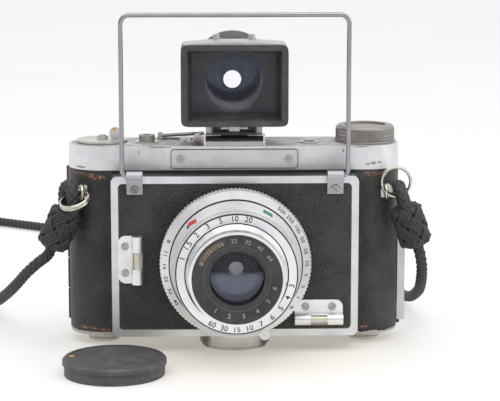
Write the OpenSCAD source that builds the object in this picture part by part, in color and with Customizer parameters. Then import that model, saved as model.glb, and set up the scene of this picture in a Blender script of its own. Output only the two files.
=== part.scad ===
// Rollfilm wide-angle camera with a leaf shutter, a wire frame finder and an optical finder.
// Millimetres. X is to the viewer's right, Y away from the viewer (the lens looks along -Y),
// Z up. The origin is the centre of the tripod socket's bottom face, on the table.

/* [Body] */
// overall width of the body over its round ends
body_w = 152.4; // [130:0.2:180]
// depth of the body, which is also the diameter of its round ends
body_d = 30.4; // [28:0.2:40]
// distance from the tripod socket's axis back to the spools' plane
axis_y = 11.5; // [5:0.5:20]
// underside of the bottom plate above the table
plate_z = 5; // [3:0.1:10]
// height of the leather covered body above the bottom plate
body_h = 75.8; // [60:0.2:100]
// height of the top plate
top_h = 11; // [6:0.2:20]
// wall of the casting
wall = 2.2; // [1.5:0.1:4]
// plane where the back door meets the body, behind the spools' plane
door_split = 9; // [5:0.5:12]

/* [Front box] */
// width of the front panel
panel_w = 112.2; // [90:0.2:130]
// height of the front panel
panel_h = 74; // [60:0.2:90]
// underside of the front panel above the table
panel_z = 7.4; // [5:0.1:12]
// how far the panel stands out of the body's front
panel_out = 13.3; // [8:0.1:25]
// width of the panel's silver border
border_w = 3.2; // [1:0.1:6]
// width of the nameplate on the top plate's front
name_w = 58.4; // [40:0.2:80]
// height of the nameplate
name_h = 9.1; // [5:0.1:10]

/* [Lens and shutter] */
// height of the lens axis
lens_z = 43.3; // [35:0.1:55]
// radius of the knurled shutter ring
ring_r = 34.2; // [25:0.1:40]
// front face of the knurled ring, in front of the panel
ring_out = 11; // [8:0.2:20]
// radius of the scale ring at its root
drum_r = 29.6; // [20:0.1:33]
// radius of the scale ring at its front
drum_r2 = 27.3; // [20:0.1:32]
// front of the scale ring, in front of the panel
drum_out = 32.6; // [20:0.2:40]
// radius of the lens barrel's push-on rim
barrel_r = 21; // [15:0.1:26]
// front of the lens barrel, in front of the panel
barrel_out = 44.4; // [30:0.2:60]
// radius of the front glass
glass_r = 12.1; // [8:0.1:18]

/* [Finders] */
// width of the optical finder's hood
hood_w = 48.6; // [30:0.2:60]
// height of the optical finder's hood
hood_h = 37; // [25:0.2:50]
// height of the optical finder's axis above the top plate
finder_up = 28.4; // [20:0.1:42]
// front of the hood, in front of the tripod socket's axis
hood_front = 12; // [0:0.5:25]
// width of the wire frame between the centrelines of its legs
frame_w = 101.8; // [80:0.2:120]
// height of the wire frame above its pivots
frame_h = 72.3; // [50:0.1:90]
// radius of the frame's wire
wire_r = 1.05; // [0.8:0.05:2]

/* [Controls] */
// radius of the wind knob
knob_r = 13.9; // [8:0.1:18]
// height of the wind knob
knob_h = 7.6; // [4:0.1:12]
// travel of the shutter release
release_travel = 1.8; // [1:0.1:3]
// travel of the spool knobs under the body
spool_pull = 5; // [3:0.1:6]

/* [Strap and cap] */
// radius of the strap's cord
cord_r = 2.7; // [2:0.1:4]
// radius of the lens cap's skirt
cap_r = 22.1; // [15:0.1:30]
// height of the lens cap
cap_h = 7.4; // [5:0.1:12]

/* [Hidden] */
$fn = 48;
e = 0.01;
gap = 0.2;
run = 0.05;
spool_x = (body_w - body_d) / 2;
body_r = body_d / 2;
bottom_t = 1.5;
body_z0 = plate_z + bottom_t;
body_z1 = body_z0 + body_h;
top_z = body_z1 + top_h;
front_y = axis_y - body_r;
back_y = axis_y + body_r;
split_y = axis_y + door_split;
panel_y = front_y - panel_out;
deck_t = 2;
chamber_r = 13;
chamber_wall = 1.5;
gate_x = spool_x - 16;
gate_z0 = body_z0 + 10.5;
gate_z1 = body_z1 - 9.3;
gate_mid = (gate_z0 + gate_z1) / 2;
gate_y = 17;
gate_t = 2.3;
film_y = gate_y + gate_t;
cone_y0 = panel_y + 6.5;
cone_y1 = gate_y - 0.5;
box_x = panel_w / 2 - 0.5;
box_z0 = panel_z + 0.5;
box_z1 = panel_z + panel_h - 0.5;
box_wall = 2.4;
leather_t = 0.6;
panel_t = 1;
plate_t = 1.2;
top_r = body_r + 0.3;
inlay_t = 0.5;
spool_z0 = body_z0 + 6.8;
spool_z1 = body_z1 - 6;
flange_r = 12.3;
core_r = 5.5;
spool_hole_r = 3.1;
key_depth = 4.5;
shaft_r = 3;
mesh_m = 0.5;
wind_z = 14;
idler_big_z = 42;
idler_small_z = 17;
count_z = 35;
counter_x = spool_x - 26.2;
window_y = 6.9;
counter_y = 12.4;
c_one = mesh_m * (wind_z + idler_big_z) / 2;
c_two = mesh_m * (idler_small_z + count_z) / 2;
dist_x = counter_x - spool_x;
dist_y = counter_y - axis_y;
c_all = sqrt(dist_x * dist_x + dist_y * dist_y);
along = (c_one * c_one - c_two * c_two + c_all * c_all) / (2 * c_all);
aside = sqrt(c_one * c_one - along * along);
idler_x = spool_x + (along * dist_x - aside * dist_y) / c_all;
idler_y = axis_y + (along * dist_y + aside * dist_x) / c_all;
ang_one = atan2(idler_y - axis_y, idler_x - spool_x);
ang_two = atan2(counter_y - idler_y, counter_x - idler_x);
// phases that put a tooth of one wheel in a gap of the next
mesh_one = ang_one + 180 + 180 / idler_big_z;
mesh_two = ang_two + 180 + 180 / count_z;
gear_z0 = body_z1 + 1.3;
gear_z1 = gear_z0 + 1.5;
dial_gear_z = gear_z1 + 1.1;
dial_z = top_z - 3;
release_x = 20.8 - spool_x;
release_y = 8;
clip_x = frame_w / 2 - 5.6;
pivot_y = panel_y - 2.15;
pivot_z = panel_z + panel_h + 0.6;
barrel_of_clip = 2.15;
clip_z0 = panel_z + panel_h - 8;
clip_t = 0.9;
clip_tilt = atan2(panel_y - clip_t - pivot_y + barrel_of_clip, pivot_z - clip_z0);
clip_screw_up = 2.7;
clip_screw_y = panel_y - clip_t - clip_screw_up * tan(clip_tilt);
frame_top = pivot_z + frame_h;
finder_z = top_z + finder_up;
hood_y1 = 8;
glass_w = hood_w - 10;
glass_h = hood_h - 9.2;
tube_r = hood_h / 2 - 3.9;
tube_in = tube_r - 1.4;
tube_y0 = hood_y1 + 8.5;
tube_y1 = 46;
cover_x = hood_w / 2 - 1.2;
eye_disc_r = hood_h / 2 + 0.2;
eye_z = finder_z + 1.6;
name_screw_x = name_w / 2 - 4.5;
name_z = body_z1 + top_h / 2 - 0.3;
socket_r = 6.4;
hinge_x = -body_w / 2;
hinge_y = split_y;
hinge_r = 2.2;
hinge_pin_r = 1;
latch_x = body_w / 2 + 0.2;
bow_h = back_y - 1.5 - film_y - 1.5;
bow_r = (20 * 20 + bow_h * bow_h) / (2 * bow_h);
shoe_z = top_z + 0.2;
slot_z0 = shoe_z + 1.2;
slot_z1 = slot_z0 + 2.1;
rail_z1 = slot_z1 + 1;
slot_w = 18.7;
peep_x = -34.4;
peep_z = top_z + 1.5;
peep_l = 20.7;
shoe_y0 = 1.6;
shoe_y1 = 21.6;
ring_y = panel_y - ring_out;
drum_y = panel_y - drum_out;
nose_y = panel_y - barrel_out;
hub_r = drum_r2 - 2.3;
lug_x = body_w / 2 - 6.7;
lug_y = front_y - 1.1;
lug_z = body_z1 - 10;
eyelet_r = 3.1;
split_ring_r = 6.7;
split_wire_r = 0.72;
knot_r = 7.6;
knot_l = 20;
eye_r = 4.3;
guide_r = 1.5;
latch_z0 = body_z0 + 2.5;
latch_z1 = body_z1 - 24.8;
// heights of the two guides on the body that carry the latch bar
guide_z = [latch_z0 + 8, latch_z1 - 7.5];
catch_z0 = latch_z0 + 13;
catch_z1 = latch_z1 - 13.5;
foot_x = latch_x + 0.5;
foot_r = 1.3;
// five hinge knuckles share the body's height
knuckle_gap = 0.75;
knuckle_z0 = body_z0 + 1.4;
knuckle_h = (body_h - 2.8 - 4 * knuckle_gap) / 5;
knuckle_step = 2 * (knuckle_h + knuckle_gap);
cap_x = -53.7;
cap_y = -53.4;

module stadium(r) {
  translate([0, axis_y]) square([2 * spool_x, 2 * r], center = true);
  for (s = [-1, 1]) translate([s * spool_x, axis_y]) circle(r);
}

module front_part() {
  translate([-body_w, front_y - 20]) square([2 * body_w, split_y - front_y + 20]);
}

module zcyl(x, y, z0, z1, r) {
  translate([x, y, z0]) cylinder(h = z1 - z0, r = r);
}

module ycyl(x, z, y0, y1, r) {
  translate([x, y0, z]) rotate([-90, 0, 0]) cylinder(h = y1 - y0, r = r);
}

module ycone(x, z, y0, y1, r0, r1) {
  translate([x, y0, z]) rotate([-90, 0, 0]) cylinder(h = y1 - y0, r1 = r0, r2 = r1);
}

module xcyl(y, z, x0, x1, r) {
  translate([x0, y, z]) rotate([0, 90, 0]) cylinder(h = x1 - x0, r = r);
}

module box(x0, x1, y0, y1, z0, z1) {
  translate([x0, y0, z0]) cube([x1 - x0, y1 - y0, z1 - z0]);
}

module toothed(r, h, n, d) {
  linear_extrude(height = h)
    polygon([for (i = [0:2 * n - 1]) let (a = 180 * i / n, q = r - (i % 2) * d) [q * cos(a), q * sin(a)]]);
}

module gear(z, h, phase) {
  rp = mesh_m * z / 2;
  ri = rp - 1.15 * mesh_m;
  ro = rp + 0.8 * mesh_m;
  p = 360 / z;
  linear_extrude(height = h)
    polygon([for (i = [0:z - 1]) for (k = [[-0.3, ri], [-0.12, ro], [0.12, ro], [0.3, ri]])
      let (a = phase + p * (i + k[0])) [k[1] * cos(a), k[1] * sin(a)]]);
}

module round_square(w, h, r) {
  square([w - 2 * r, h], center = true);
  square([w, h - 2 * r], center = true);
  for (i = [-1, 1]) for (j = [-1, 1]) translate([i * (w / 2 - r), j * (h / 2 - r)]) circle(r);
}

// a plate in the X-Z plane, from y0 to y1, centred on (0, zc)
module upright(y0, y1, zc) {
  translate([0, y1, zc]) rotate([90, 0, 0]) linear_extrude(height = y1 - y0) children();
}

// slotted screw whose head stands out towards the viewer
module screw_y(x, y, z, r, h, turn) {
  translate([x, y, z]) rotate([0, turn, 0]) difference() {
    union() {
      rotate([90, 0, 0]) cylinder(h = h, r = r);
      rotate([-90, 0, 0]) cylinder(h = 0.8, r = r * 0.5);
    }
    translate([-r, -h - e, -r * 0.13]) cube([2 * r, 0.45, r * 0.26]);
  }
}

module body_shell() color([0.11, 0.11, 0.12]) difference() {
  union() {
    for (z = [body_z0, body_z1 - deck_t]) translate([0, 0, z]) linear_extrude(height = deck_t)
      intersection() { stadium(body_r); front_part(); }
    translate([0, 0, body_z0]) linear_extrude(height = body_h) difference() {
      union() {
        intersection() {
          difference() { stadium(body_r); stadium(body_r - wall); }
          front_part();
        }
        for (s = [-1, 1]) intersection() {
          translate([s * spool_x, axis_y]) circle(chamber_r + chamber_wall);
          translate([-body_w, front_y + 1]) square([2 * body_w, gate_y - front_y - 1]);
        }
        translate([-gate_x - 1.3, gate_y - 0.5]) square([2 * gate_x + 2.6, gate_t + 0.5]);
        for (s = [-1, 1]) translate([s * (gate_x + 2.8), film_y - guide_r + 0.2]) circle(guide_r);
        for (s = [-1, 1]) translate([s * (gate_x + 1.9) - 1, gate_y - 0.5]) square([2, 2]);
      }
      for (s = [-1, 1]) translate([s * spool_x, axis_y]) circle(chamber_r);
    }
    for (s = [0, 1, 2]) knuckle(s * knuckle_step + knuckle_z0, -1);
    zcyl(idler_x, idler_y, body_z1 - e, gear_z1 + 3, 1);
    zcyl(counter_x, counter_y, body_z1 - e, dial_gear_z + 2.6, 1);
    for (z = guide_z) box(latch_x - 1.2, latch_x + 2.4, 9.1, 10.9, z, z + 2.5);
    zcyl(foot_x, axis_y, body_z0 + 0.3, latch_z0 - 0.3, foot_r);
  }
  box(-gate_x, gate_x, gate_y - 1, film_y + 1, gate_z0, gate_z1);
  box(3 - gate_x, gate_x - 3, front_y - 1, front_y + wall + 1, body_z0 + 6.5, body_z1 - 5.3);
  for (s = [-1, 1]) {
    zcyl(s * spool_x, axis_y, body_z0 - 1, body_z0 + 3, 5.1);
    zcyl(s * spool_x, axis_y, body_z1 - 3, body_z1 + 1, shaft_r + run);
  }
  zcyl(0, 0, body_z0 - 1, body_z0 + 4, socket_r + 0.1);
  hinge_bore();
}

// one hinge knuckle; side -1 reaches to the body, side 1 to the door
module knuckle(z, side) {
  y0 = hinge_y + (side > 0 ? 0.15 : -1.4);
  zcyl(hinge_x, hinge_y, z, z + knuckle_h, hinge_r);
  box(hinge_x, hinge_x + 4.2, y0, y0 + 1.25, z, z + knuckle_h);
}

module hinge_bore() {
  zcyl(hinge_x, hinge_y, body_z0, body_z1, hinge_pin_r + run);
}

module light_cone() color([0.04, 0.04, 0.04]) difference() {
  intersection() {
    translate([0, 0, gate_z0 - 7]) linear_extrude(height = gate_z1 - gate_z0 + 14)
      polygon([[-gate_x - 0.9, cone_y1], [gate_x + 0.9, cone_y1], [24, cone_y0], [-24, cone_y0]]);
    rotate([90, 0, 90]) translate([0, 0, -body_w / 2]) linear_extrude(height = body_w)
      polygon([[cone_y1, gate_z0 - 1.2], [cone_y1, gate_z1 + 1.2], [cone_y0, lens_z + 18],
               [cone_y0, lens_z - 18]]);
  }
  intersection() {
    translate([0, 0, gate_z0 - 7]) linear_extrude(height = gate_z1 - gate_z0 + 14)
      polygon([[0.3 - gate_x, cone_y1 + 1], [gate_x - 0.3, cone_y1 + 1], [22.8, cone_y0 - 1],
               [-22.8, cone_y0 - 1]]);
    rotate([90, 0, 90]) translate([0, 0, -body_w / 2]) linear_extrude(height = body_w)
      polygon([[cone_y1 + 1, gate_z0], [cone_y1 + 1, gate_z1], [cone_y0 - 1, lens_z + 16.8],
               [cone_y0 - 1, lens_z - 16.8]]);
  }
}

module top_plate() color([0.75, 0.75, 0.74]) difference() {
  translate([0, 0, body_z1]) linear_extrude(height = top_h) stadium(top_r);
  translate([0, 0, body_z1 - 1]) linear_extrude(height = top_h - plate_t + 1) stadium(top_r - plate_t);
  translate([0, 0, top_z - inlay_t]) linear_extrude(height = 1) stadium(top_r - 1.1);
  top_holes();
  for (s = [-1, 1]) ycyl(s * name_screw_x, name_z, front_y - 3, front_y + 3, 1);
}

module top_holes() {
  zcyl(spool_x, axis_y, top_z - 3, top_z + 1, shaft_r + run);
  zcyl(-spool_x, axis_y, top_z - 3, top_z + 1, shaft_r + run);
  zcyl(release_x, release_y, top_z - 3, top_z + 1, 4.2);
  zcyl(counter_x, window_y, top_z - 3, top_z + 1, 3.9);
}

module top_inlay() color([0.33, 0.33, 0.33]) difference() {
  translate([0, 0, top_z - inlay_t]) linear_extrude(height = inlay_t + 0.1) stadium(top_r - 1.15);
  top_holes();
}

module bottom_plate() color([0.72, 0.72, 0.71]) difference() {
  union() {
    translate([0, 0, plate_z]) linear_extrude(height = bottom_t) stadium(body_r + 0.2);
    for (s = [-1, 1]) {
      zcyl(s * spool_x, axis_y, plate_z - 0.8, plate_z + 0.5, 8.6);
      zcyl(s * spool_x, axis_y, plate_z, body_z0 + deck_t, 5.05);
    }
  }
  for (s = [-1, 1]) zcyl(s * spool_x, axis_y, plate_z - 2, body_z0 + deck_t + 1, shaft_r + run);
  zcyl(0, 0, plate_z - 1, body_z0 + 1, socket_r + 0.1);
}

module front_box() color([0.06, 0.06, 0.06]) difference() {
  box(-box_x, box_x, panel_y + panel_t, front_y, box_z0, box_z1);
  box(box_wall - box_x, box_x - box_wall, panel_y + panel_t + box_wall, front_y + 1, box_z0 + box_wall,
      box_z1 - box_wall);
  ycyl(0, lens_z, panel_y - 1, front_y, 16.05);
  zcyl(0, 0, box_z0 - 1, body_z0 + 4, socket_r + 0.1);
  // room for the top plate, the nameplate and its screws
  box(-body_w, body_w, axis_y - top_r - 1, front_y + 1, body_z1 - gap, body_z1 + 2 * top_h);
}

module panel_border() color([0.78, 0.78, 0.78]) difference() {
  upright(panel_y, panel_y + panel_t, panel_z + panel_h / 2) round_square(panel_w, panel_h, 2.8);
  upright(panel_y - 1, panel_y + panel_t + 1, panel_z + panel_h / 2)
    round_square(panel_w - 2 * border_w, panel_h - 2 * border_w, 2);
}

module panel_leather() color([0.05, 0.05, 0.05]) difference() {
  upright(panel_y + 0.2, panel_y + panel_t, panel_z + panel_h / 2)
    round_square(panel_w - 2 * border_w, panel_h - 2 * border_w, 2);
  ycyl(0, lens_z, panel_y - 1, front_y, 16.05);
}

// leather round both ends of the body, from the front box to the door
module body_leather() color([0.06, 0.06, 0.06]) difference() {
  for (s = [-1, 1]) translate([0, 0, body_z0 + 0.2]) linear_extrude(height = body_h - 0.4) intersection() {
    difference() { stadium(body_r + leather_t); stadium(body_r); }
    if (s < 0) translate([-body_w, front_y - 5]) square([body_w - box_x - gap, split_y - front_y + 3]);
    else translate([box_x + gap, front_y - 5]) square([latch_x - box_x - gap, split_y - front_y + 5]);
  }
  for (z = guide_z) box(latch_x - 2, latch_x + 2, 8.9, 11.1, z - gap, z + 2.5 + gap);
  zcyl(foot_x, axis_y, body_z0, latch_z0, foot_r + gap);
}

module nameplate() color([0.8, 0.8, 0.8]) difference() {
  upright(axis_y - top_r - 0.5, axis_y - top_r, name_z) round_square(name_w, name_h, 1.6);
  for (s = [-1, 1]) ycyl(s * name_screw_x, name_z, front_y - 3, front_y + 3, 1);
}

// slotted screws of the nameplate, the frame's clips and the spirit levels
module front_screws() color([0.7, 0.7, 0.68]) {
  for (s = [-1, 1]) screw_y(s * name_screw_x, axis_y - top_r - 0.5, name_z, 1.9, 0.3, s * 35);
  clip_screw_place() screw_y(0, 0, 0, 1.95, 0.7, 50);
  level_place() for (z = [-6.1, 6.1]) screw_y(-2.5, -0.8, z, 1.8, 0.6, z * 9);
}

module clip_screw_place() for (s = [-1, 1])
  translate([s * clip_x, clip_screw_y, clip_z0 + clip_screw_up]) rotate([clip_tilt, 0, 0]) children();

// each clip is screwed to the panel, slopes forwards to the top and holds one end of the wire frame
module frame_clips() color([0.74, 0.74, 0.74]) difference() {
  for (s = [-1, 1]) union() {
    translate([s * clip_x - 3.6, 0, 0]) rotate([90, 0, 90]) linear_extrude(height = 7.2)
      polygon([[panel_y, clip_z0], [panel_y - clip_t, clip_z0], [pivot_y - barrel_of_clip, pivot_z],
               [panel_y, pivot_z]]);
    xcyl(pivot_y, pivot_z, s * clip_x - 3.6, s * clip_x + 3.6, barrel_of_clip);
  }
  for (s = [-1, 1]) xcyl(pivot_y, pivot_z, s * clip_x - 4, s * clip_x + 4, wire_r + run);
  clip_screw_place() ycyl(0, 0, -0.5, 0.85, 1.02);
}

// local frame of a spirit level: tube along Z on the right, ear to the left, face towards -Y
module level_place() {
  translate([8.7 - panel_w / 2, panel_y, lens_z + 0.2]) children();
  translate([panel_w / 2 - 18, panel_y, panel_z + 11.3]) rotate([0, 90, 0]) children();
}

module level_bases() color([0.8, 0.8, 0.78]) level_place() difference() {
  union() {
    box(-2.3, 5.6, -0.8, 0, -11, 11);
    box(-5.7, 5.6, -0.8, 0, -7.6, 7.6);
    ycyl(-2.3, -7.6, -0.8, 0, 3.4);
    ycyl(-2.3, 7.6, -0.8, 0, 3.4);
    zcyl(3.1, -2.6, -11, 11, 2.6);
    box(0.5, 5.7, -2.6, 0, -11, 11);
  }
  zcyl(3.1, -2.6, -9.5, 9.5, 1.95);
  box(0.9, 5.3, -6, -2.6, -3.9, 3.9);
  for (z = [-6.1, 6.1]) ycyl(-2.5, z, -2, 1, 1.02);
}

module level_vials() color([0.85, 0.8, 0.62, 0.8]) level_place() zcyl(3.1, -2.6, -9.5, 9.5, 1.95);

// grooved shoe, with the silver half round bar in front of it
module accessory_shoe() color([0.75, 0.75, 0.75]) {
  difference() {
    box(-13, 13, shoe_y0, shoe_y1, shoe_z - 0.1, rail_z1);
    box(-slot_w / 2, slot_w / 2, shoe_y0 - 1, shoe_y1 + 1, slot_z0, slot_z1);
    box(-6.2, 6.2, shoe_y0 - 1, shoe_y1 + 1, slot_z0, rail_z1 + 1);
  }
  intersection() {
    xcyl(1.1, top_z + 0.1, -13.2, 13.2, 4);
    box(-14, 14, -4, 1.4, top_z + 0.1, top_z + 5);
  }
  for (s = [-1, 1]) box(s * 13.6 - 0.4, s * 13.6 + 0.4, -4, 1.8, top_z + 0.1, top_z + 5.2);
}

// small bracket with a round hole, and the two ears and the pin of the rear sight
module sight_bracket() color([0.75, 0.75, 0.74]) {
  difference() {
    box(-24.8, -20, 2.4, 6, top_z + 0.1, top_z + 3.3);
    ycyl(-22.4, top_z + 1.8, 2, 4, 0.9);
  }
  for (y = [16.2, 24.7]) box(peep_x - 1.1, peep_x + 1.1, y, y + 1.1, top_z + 0.1, peep_z + 1);
  ycyl(peep_x, peep_z, 16.5, 25.5, 0.5);
}

module flash_socket() color([0.6, 0.6, 0.58]) difference() {
  union() {
    box(-19.3, -14, 2.4, 7, top_z + 0.1, top_z + 1.8);
    ycyl(-16.65, top_z + 1.8, 2.4, 7, 2.65);
  }
  box(-20, -13, 2, 8, top_z - 3, top_z + 0.1);
  ycyl(-16.65, top_z + 1.8, 1, 5.5, 1.7);
}

// chrome collar of the release, which also retains its flange, and the counter's bezel
module top_bezels() color([0.8, 0.8, 0.8]) {
  difference() {
    union() {
      zcyl(release_x, release_y, top_z + 0.1, top_z + 0.9, 5.3);
      zcyl(release_x, release_y, top_z - 6, top_z + 0.2, 4.15);
    }
    zcyl(release_x, release_y, top_z - 7, top_z + 2, 3.7 + run);
  }
  difference() {
    union() {
      zcyl(counter_x, window_y, top_z + 0.1, top_z + 0.8, 4.2);
      zcyl(counter_x, window_y, top_z - 1.2, top_z + 0.2, 3.85);
    }
    zcyl(counter_x, window_y, top_z - 2, top_z + 2, 3.1);
  }
}

module release_button() color([0.7, 0.7, 0.7]) difference() {
  union() {
    zcyl(release_x, release_y, top_z - 5, top_z + 3.8, 3.7);
    zcyl(release_x, release_y, body_z1 + release_travel + 0.3, top_z - 5, 2);
    zcyl(release_x, release_y, top_z - 7.2, top_z - 6.1, 4.6);
  }
  zcyl(release_x, release_y, top_z - 1, top_z + 5, 1.45);
}

module counter_glass() color([0.7, 0.6, 0.45, 0.5]) zcyl(counter_x, window_y, top_z - 0.6, top_z + 0.3, 3.1);

module counter_dial() color([0.8, 0.78, 0.72]) translate([counter_x, counter_y, 0]) {
  difference() {
    union() {
      translate([0, 0, dial_z]) cylinder(h = 0.8, r = 8.6);
      translate([0, 0, dial_gear_z - 0.8]) cylinder(h = dial_z + 1 - dial_gear_z, r = 2);
      translate([0, 0, dial_gear_z]) gear(count_z, 1.6, mesh_two);
    }
    translate([0, 0, dial_gear_z - 2]) cylinder(h = 5, r = 1 + run);
  }
}

module idler_gear() color([0.75, 0.6, 0.3]) translate([idler_x, idler_y, 0]) difference() {
  union() {
    translate([0, 0, gear_z0]) gear(idler_big_z, gear_z1 - gear_z0, mesh_one);
    translate([0, 0, gear_z1 - 0.1]) gear(idler_small_z, 3.4, ang_two);
  }
  translate([0, 0, gear_z0 - 1]) cylinder(h = 7, r = 1 + run);
}

// fixed eyelets at both ends, each with a round base on the leather
module strap_lugs() color([0.75, 0.75, 0.75]) for (s = [-1, 1]) difference() {
  union() {
    translate([s * lug_x, lug_y, lug_z]) rotate([0, 90, 0]) rotate_extrude() translate([eyelet_r, 0])
      circle(0.8);
    ycyl(s * lug_x, lug_z, lug_y + 1.9, lug_y + 6, 3.4);
  }
  translate([0, 0, body_z0]) linear_extrude(height = body_h) stadium(body_r + leather_t);
}

// one double coil ring in the X-Z plane, its middle at the origin
module split_ring() {
  for (y = [-0.6, 0.6]) translate([0, y, 0]) rotate([90, 0, 0])
    rotate_extrude() translate([split_ring_r, 0]) circle(split_wire_r, $fn = 24);
}

// the right ring stands up in its lug, the left one is pulled forwards and down
module strap_rings() color([0.8, 0.78, 0.7]) {
  translate([lug_x + 4.65, lug_y - 0.5, lug_z + 4.4]) split_ring();
  translate([-lug_x - 3.2, lug_y - 5.5, lug_z - 2.8]) rotate([0, -16.5, 0]) rotate([-71, 0, 0]) split_ring();
}

module tripod_socket() color([0.78, 0.78, 0.78]) difference() {
  union() {
    zcyl(0, 0, 0, 0.9, 15);
    translate([0, 0, 0.8]) cylinder(h = 0.9, r1 = 15, r2 = 16.2);
    zcyl(0, 0, 1.7, plate_z, 16.2);
    zcyl(0, 0, plate_z - 1, body_z0 + 3.5, socket_r);
    intersection() {
      zcyl(0, 0, plate_z - 1, box_z0, 16.2);
      box(-20, 20, -20, front_y - 0.9, 0, 20);
    }
  }
  zcyl(0, 0, -1, 9, 3.175);
}

module spool_knob() {
  cylinder(h = 0.5, r1 = 6.9, r2 = 7.5);
  translate([0, 0, 0.5]) cylinder(h = 0.9, r = 7.5);
  translate([0, 0, 1.4]) toothed(7.1, 1.5, 48, 0.35);
  translate([0, 0, 2.9]) cylinder(h = 1.1, r = 7.6);
  translate([0, 0, 3.9]) cylinder(h = spool_z0 + 3.6 - 3.9, r = shaft_r);
}

module spool_knob_left() color([0.78, 0.78, 0.76]) translate([-spool_x, axis_y, 0]) spool_knob();

module spool_knob_right() color([0.78, 0.78, 0.76]) translate([spool_x, axis_y, 0]) spool_knob();

module spool() {
  difference() {
    union() {
      zcyl(0, 0, spool_z0, spool_z0 + 0.9, flange_r);
      zcyl(0, 0, spool_z1 - 0.9, spool_z1, flange_r);
      zcyl(0, 0, spool_z0, spool_z1, core_r);
    }
    zcyl(0, 0, spool_z0 - 1, spool_z0 + 5, spool_hole_r);
    zcyl(0, 0, spool_z1 - 5.5, spool_z1 + 1, spool_hole_r);
    for (z = [spool_z0 - 1, spool_z1 - key_depth]) box(-4.8, 4.8, -0.9, 0.9, z, z + key_depth + 1);
    box(-0.6, 0.6, -8, 8, spool_z0 + 20, spool_z1 - 20);
  }
}

module supply_spool() color([0.12, 0.12, 0.12]) translate([-spool_x, axis_y, 0]) spool();

module takeup_spool() color([0.12, 0.12, 0.12]) translate([spool_x, axis_y, 0]) spool();

// shaft that ends in the blade that drives a spool
module drive_shaft(top) {
  zcyl(0, 0, spool_z1 + 1.2, top, shaft_r);
  box(-4.5, 4.5, -0.75, 0.75, spool_z1 - 4, spool_z1 + 1.2);
  zcyl(0, 0, spool_z1 + 0.2, spool_z1 + 1.3, 5);
}

module wind_shaft() color([0.7, 0.7, 0.7]) translate([spool_x, axis_y, 0]) {
  drive_shaft(top_z + 2.2);
  translate([0, 0, gear_z0 - 0.2]) gear(wind_z, 1.9, ang_one);
}

module wind_knob() color([0.7, 0.7, 0.7]) translate([spool_x, axis_y, top_z + 0.3]) difference() {
  union() {
    cylinder(h = 1, r = knob_r);
    translate([0, 0, 0.9]) cylinder(h = 5, r = knob_r - 0.9);
    for (i = [0:2]) translate([0, 0, 1.1 + i * 1.65]) toothed(knob_r - 0.25, 1.35, 72, 0.45);
    translate([0, 0, 5.9]) cylinder(h = 0.7, r = knob_r - 0.4);
    translate([0, 0, 6.6]) cylinder(h = 0.9, r1 = knob_r - 0.4, r2 = knob_r - 1.4);
    translate([0, 0, knob_h - 0.3]) cylinder(h = 0.3, r = knob_r - 1.4);
  }
  translate([0, 0, knob_h - 0.8]) cylinder(h = 2, r = 9.6);
  for (i = [0:5]) rotate([0, 0, 60 * i + 30]) translate([5.5, -0.25, knob_h - 1.1]) cube([2.6, 0.5, 2]);
  translate([0, 0, -1]) cylinder(h = 3, r = shaft_r);
}

module supply_crank() color([0.72, 0.71, 0.68]) translate([-spool_x, axis_y, 0]) {
  drive_shaft(top_z + 1);
  translate([0, 0, top_z + 0.3]) cylinder(h = 0.5, r = 11);
  translate([0, 0, top_z + 0.8]) cylinder(h = 0.7, r = 11.7);
  translate([0, 0, top_z + 1.4]) cylinder(h = 1.5, r = 2.6);
  translate([0, 0, top_z + 2.8]) cylinder(h = 0.7, r = 1.6);
  translate([6, 0.8, top_z + 1.4]) cylinder(h = 1.2, r = 1.5);
  ycyl(6, top_z + 4.1, -0.4, 2.2, 2.7);
}

module wire_frame() color([0.75, 0.75, 0.76]) {
  w = frame_w / 2;
  r1 = 2.6;
  r2 = 4;
  for (s = [-1, 1]) {
    xcyl(pivot_y, pivot_z, s > 0 ? w - r1 - 5.9 : -w + r1, s > 0 ? w - r1 : -w + r1 + 5.9, wire_r);
    zcyl(s * w, pivot_y, pivot_z + r1, frame_top - r2, wire_r);
    translate([s * (w - r1), pivot_y, pivot_z + r1]) rotate([90, 0, 0])
      rotate([0, 0, s > 0 ? 270 : 180]) rotate_extrude(angle = 90) translate([r1, 0]) circle(wire_r);
    translate([s * (w - r2), pivot_y, frame_top - r2]) rotate([90, 0, 0])
      rotate([0, 0, s > 0 ? 0 : 90]) rotate_extrude(angle = 90) translate([r2, 0]) circle(wire_r);
  }
  xcyl(pivot_y, frame_top, -w + r2, w - r2, wire_r);
}

// thin rear sight, folded down towards the shoe
module peep_sight() color([0.3, 0.28, 0.2]) difference() {
  union() {
    translate([peep_x, 0, peep_z]) rotate([0, -3.2, 0]) box(0.8, peep_l, 17.8, 24.2, -0.4, 0.4);
    ycyl(peep_x, peep_z, 17.5, 24.5, 1.1);
  }
  ycyl(peep_x, peep_z, 16, 26, 0.5 + run);
  zcyl(peep_x + peep_l - 5, 21, peep_z - 2, peep_z + 4, 1.3);
}

function pillow(w, h, n, m) = [for (i = [0:m - 1]) let (a = 360 * (i + 0.5) / m, c = cos(a), s = sin(a))
  [w / 2 * sign(c) * pow(abs(c), 2 / n), h / 2 * sign(s) * pow(abs(s), 2 / n)]];

module frustum(y0, y1, w0, w1, h0, h1) {
  intersection() {
    translate([0, 0, finder_z - hood_h]) linear_extrude(height = 2 * hood_h)
      polygon([[-w0 / 2, y0], [w0 / 2, y0], [w1 / 2, y1], [-w1 / 2, y1]]);
    rotate([90, 0, 90]) translate([0, 0, -hood_w]) linear_extrude(height = 2 * hood_w)
      polygon([[y0, finder_z - h0 / 2], [y0, finder_z + h0 / 2], [y1, finder_z + h1 / 2],
               [y1, finder_z - h1 / 2]]);
  }
}

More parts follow.
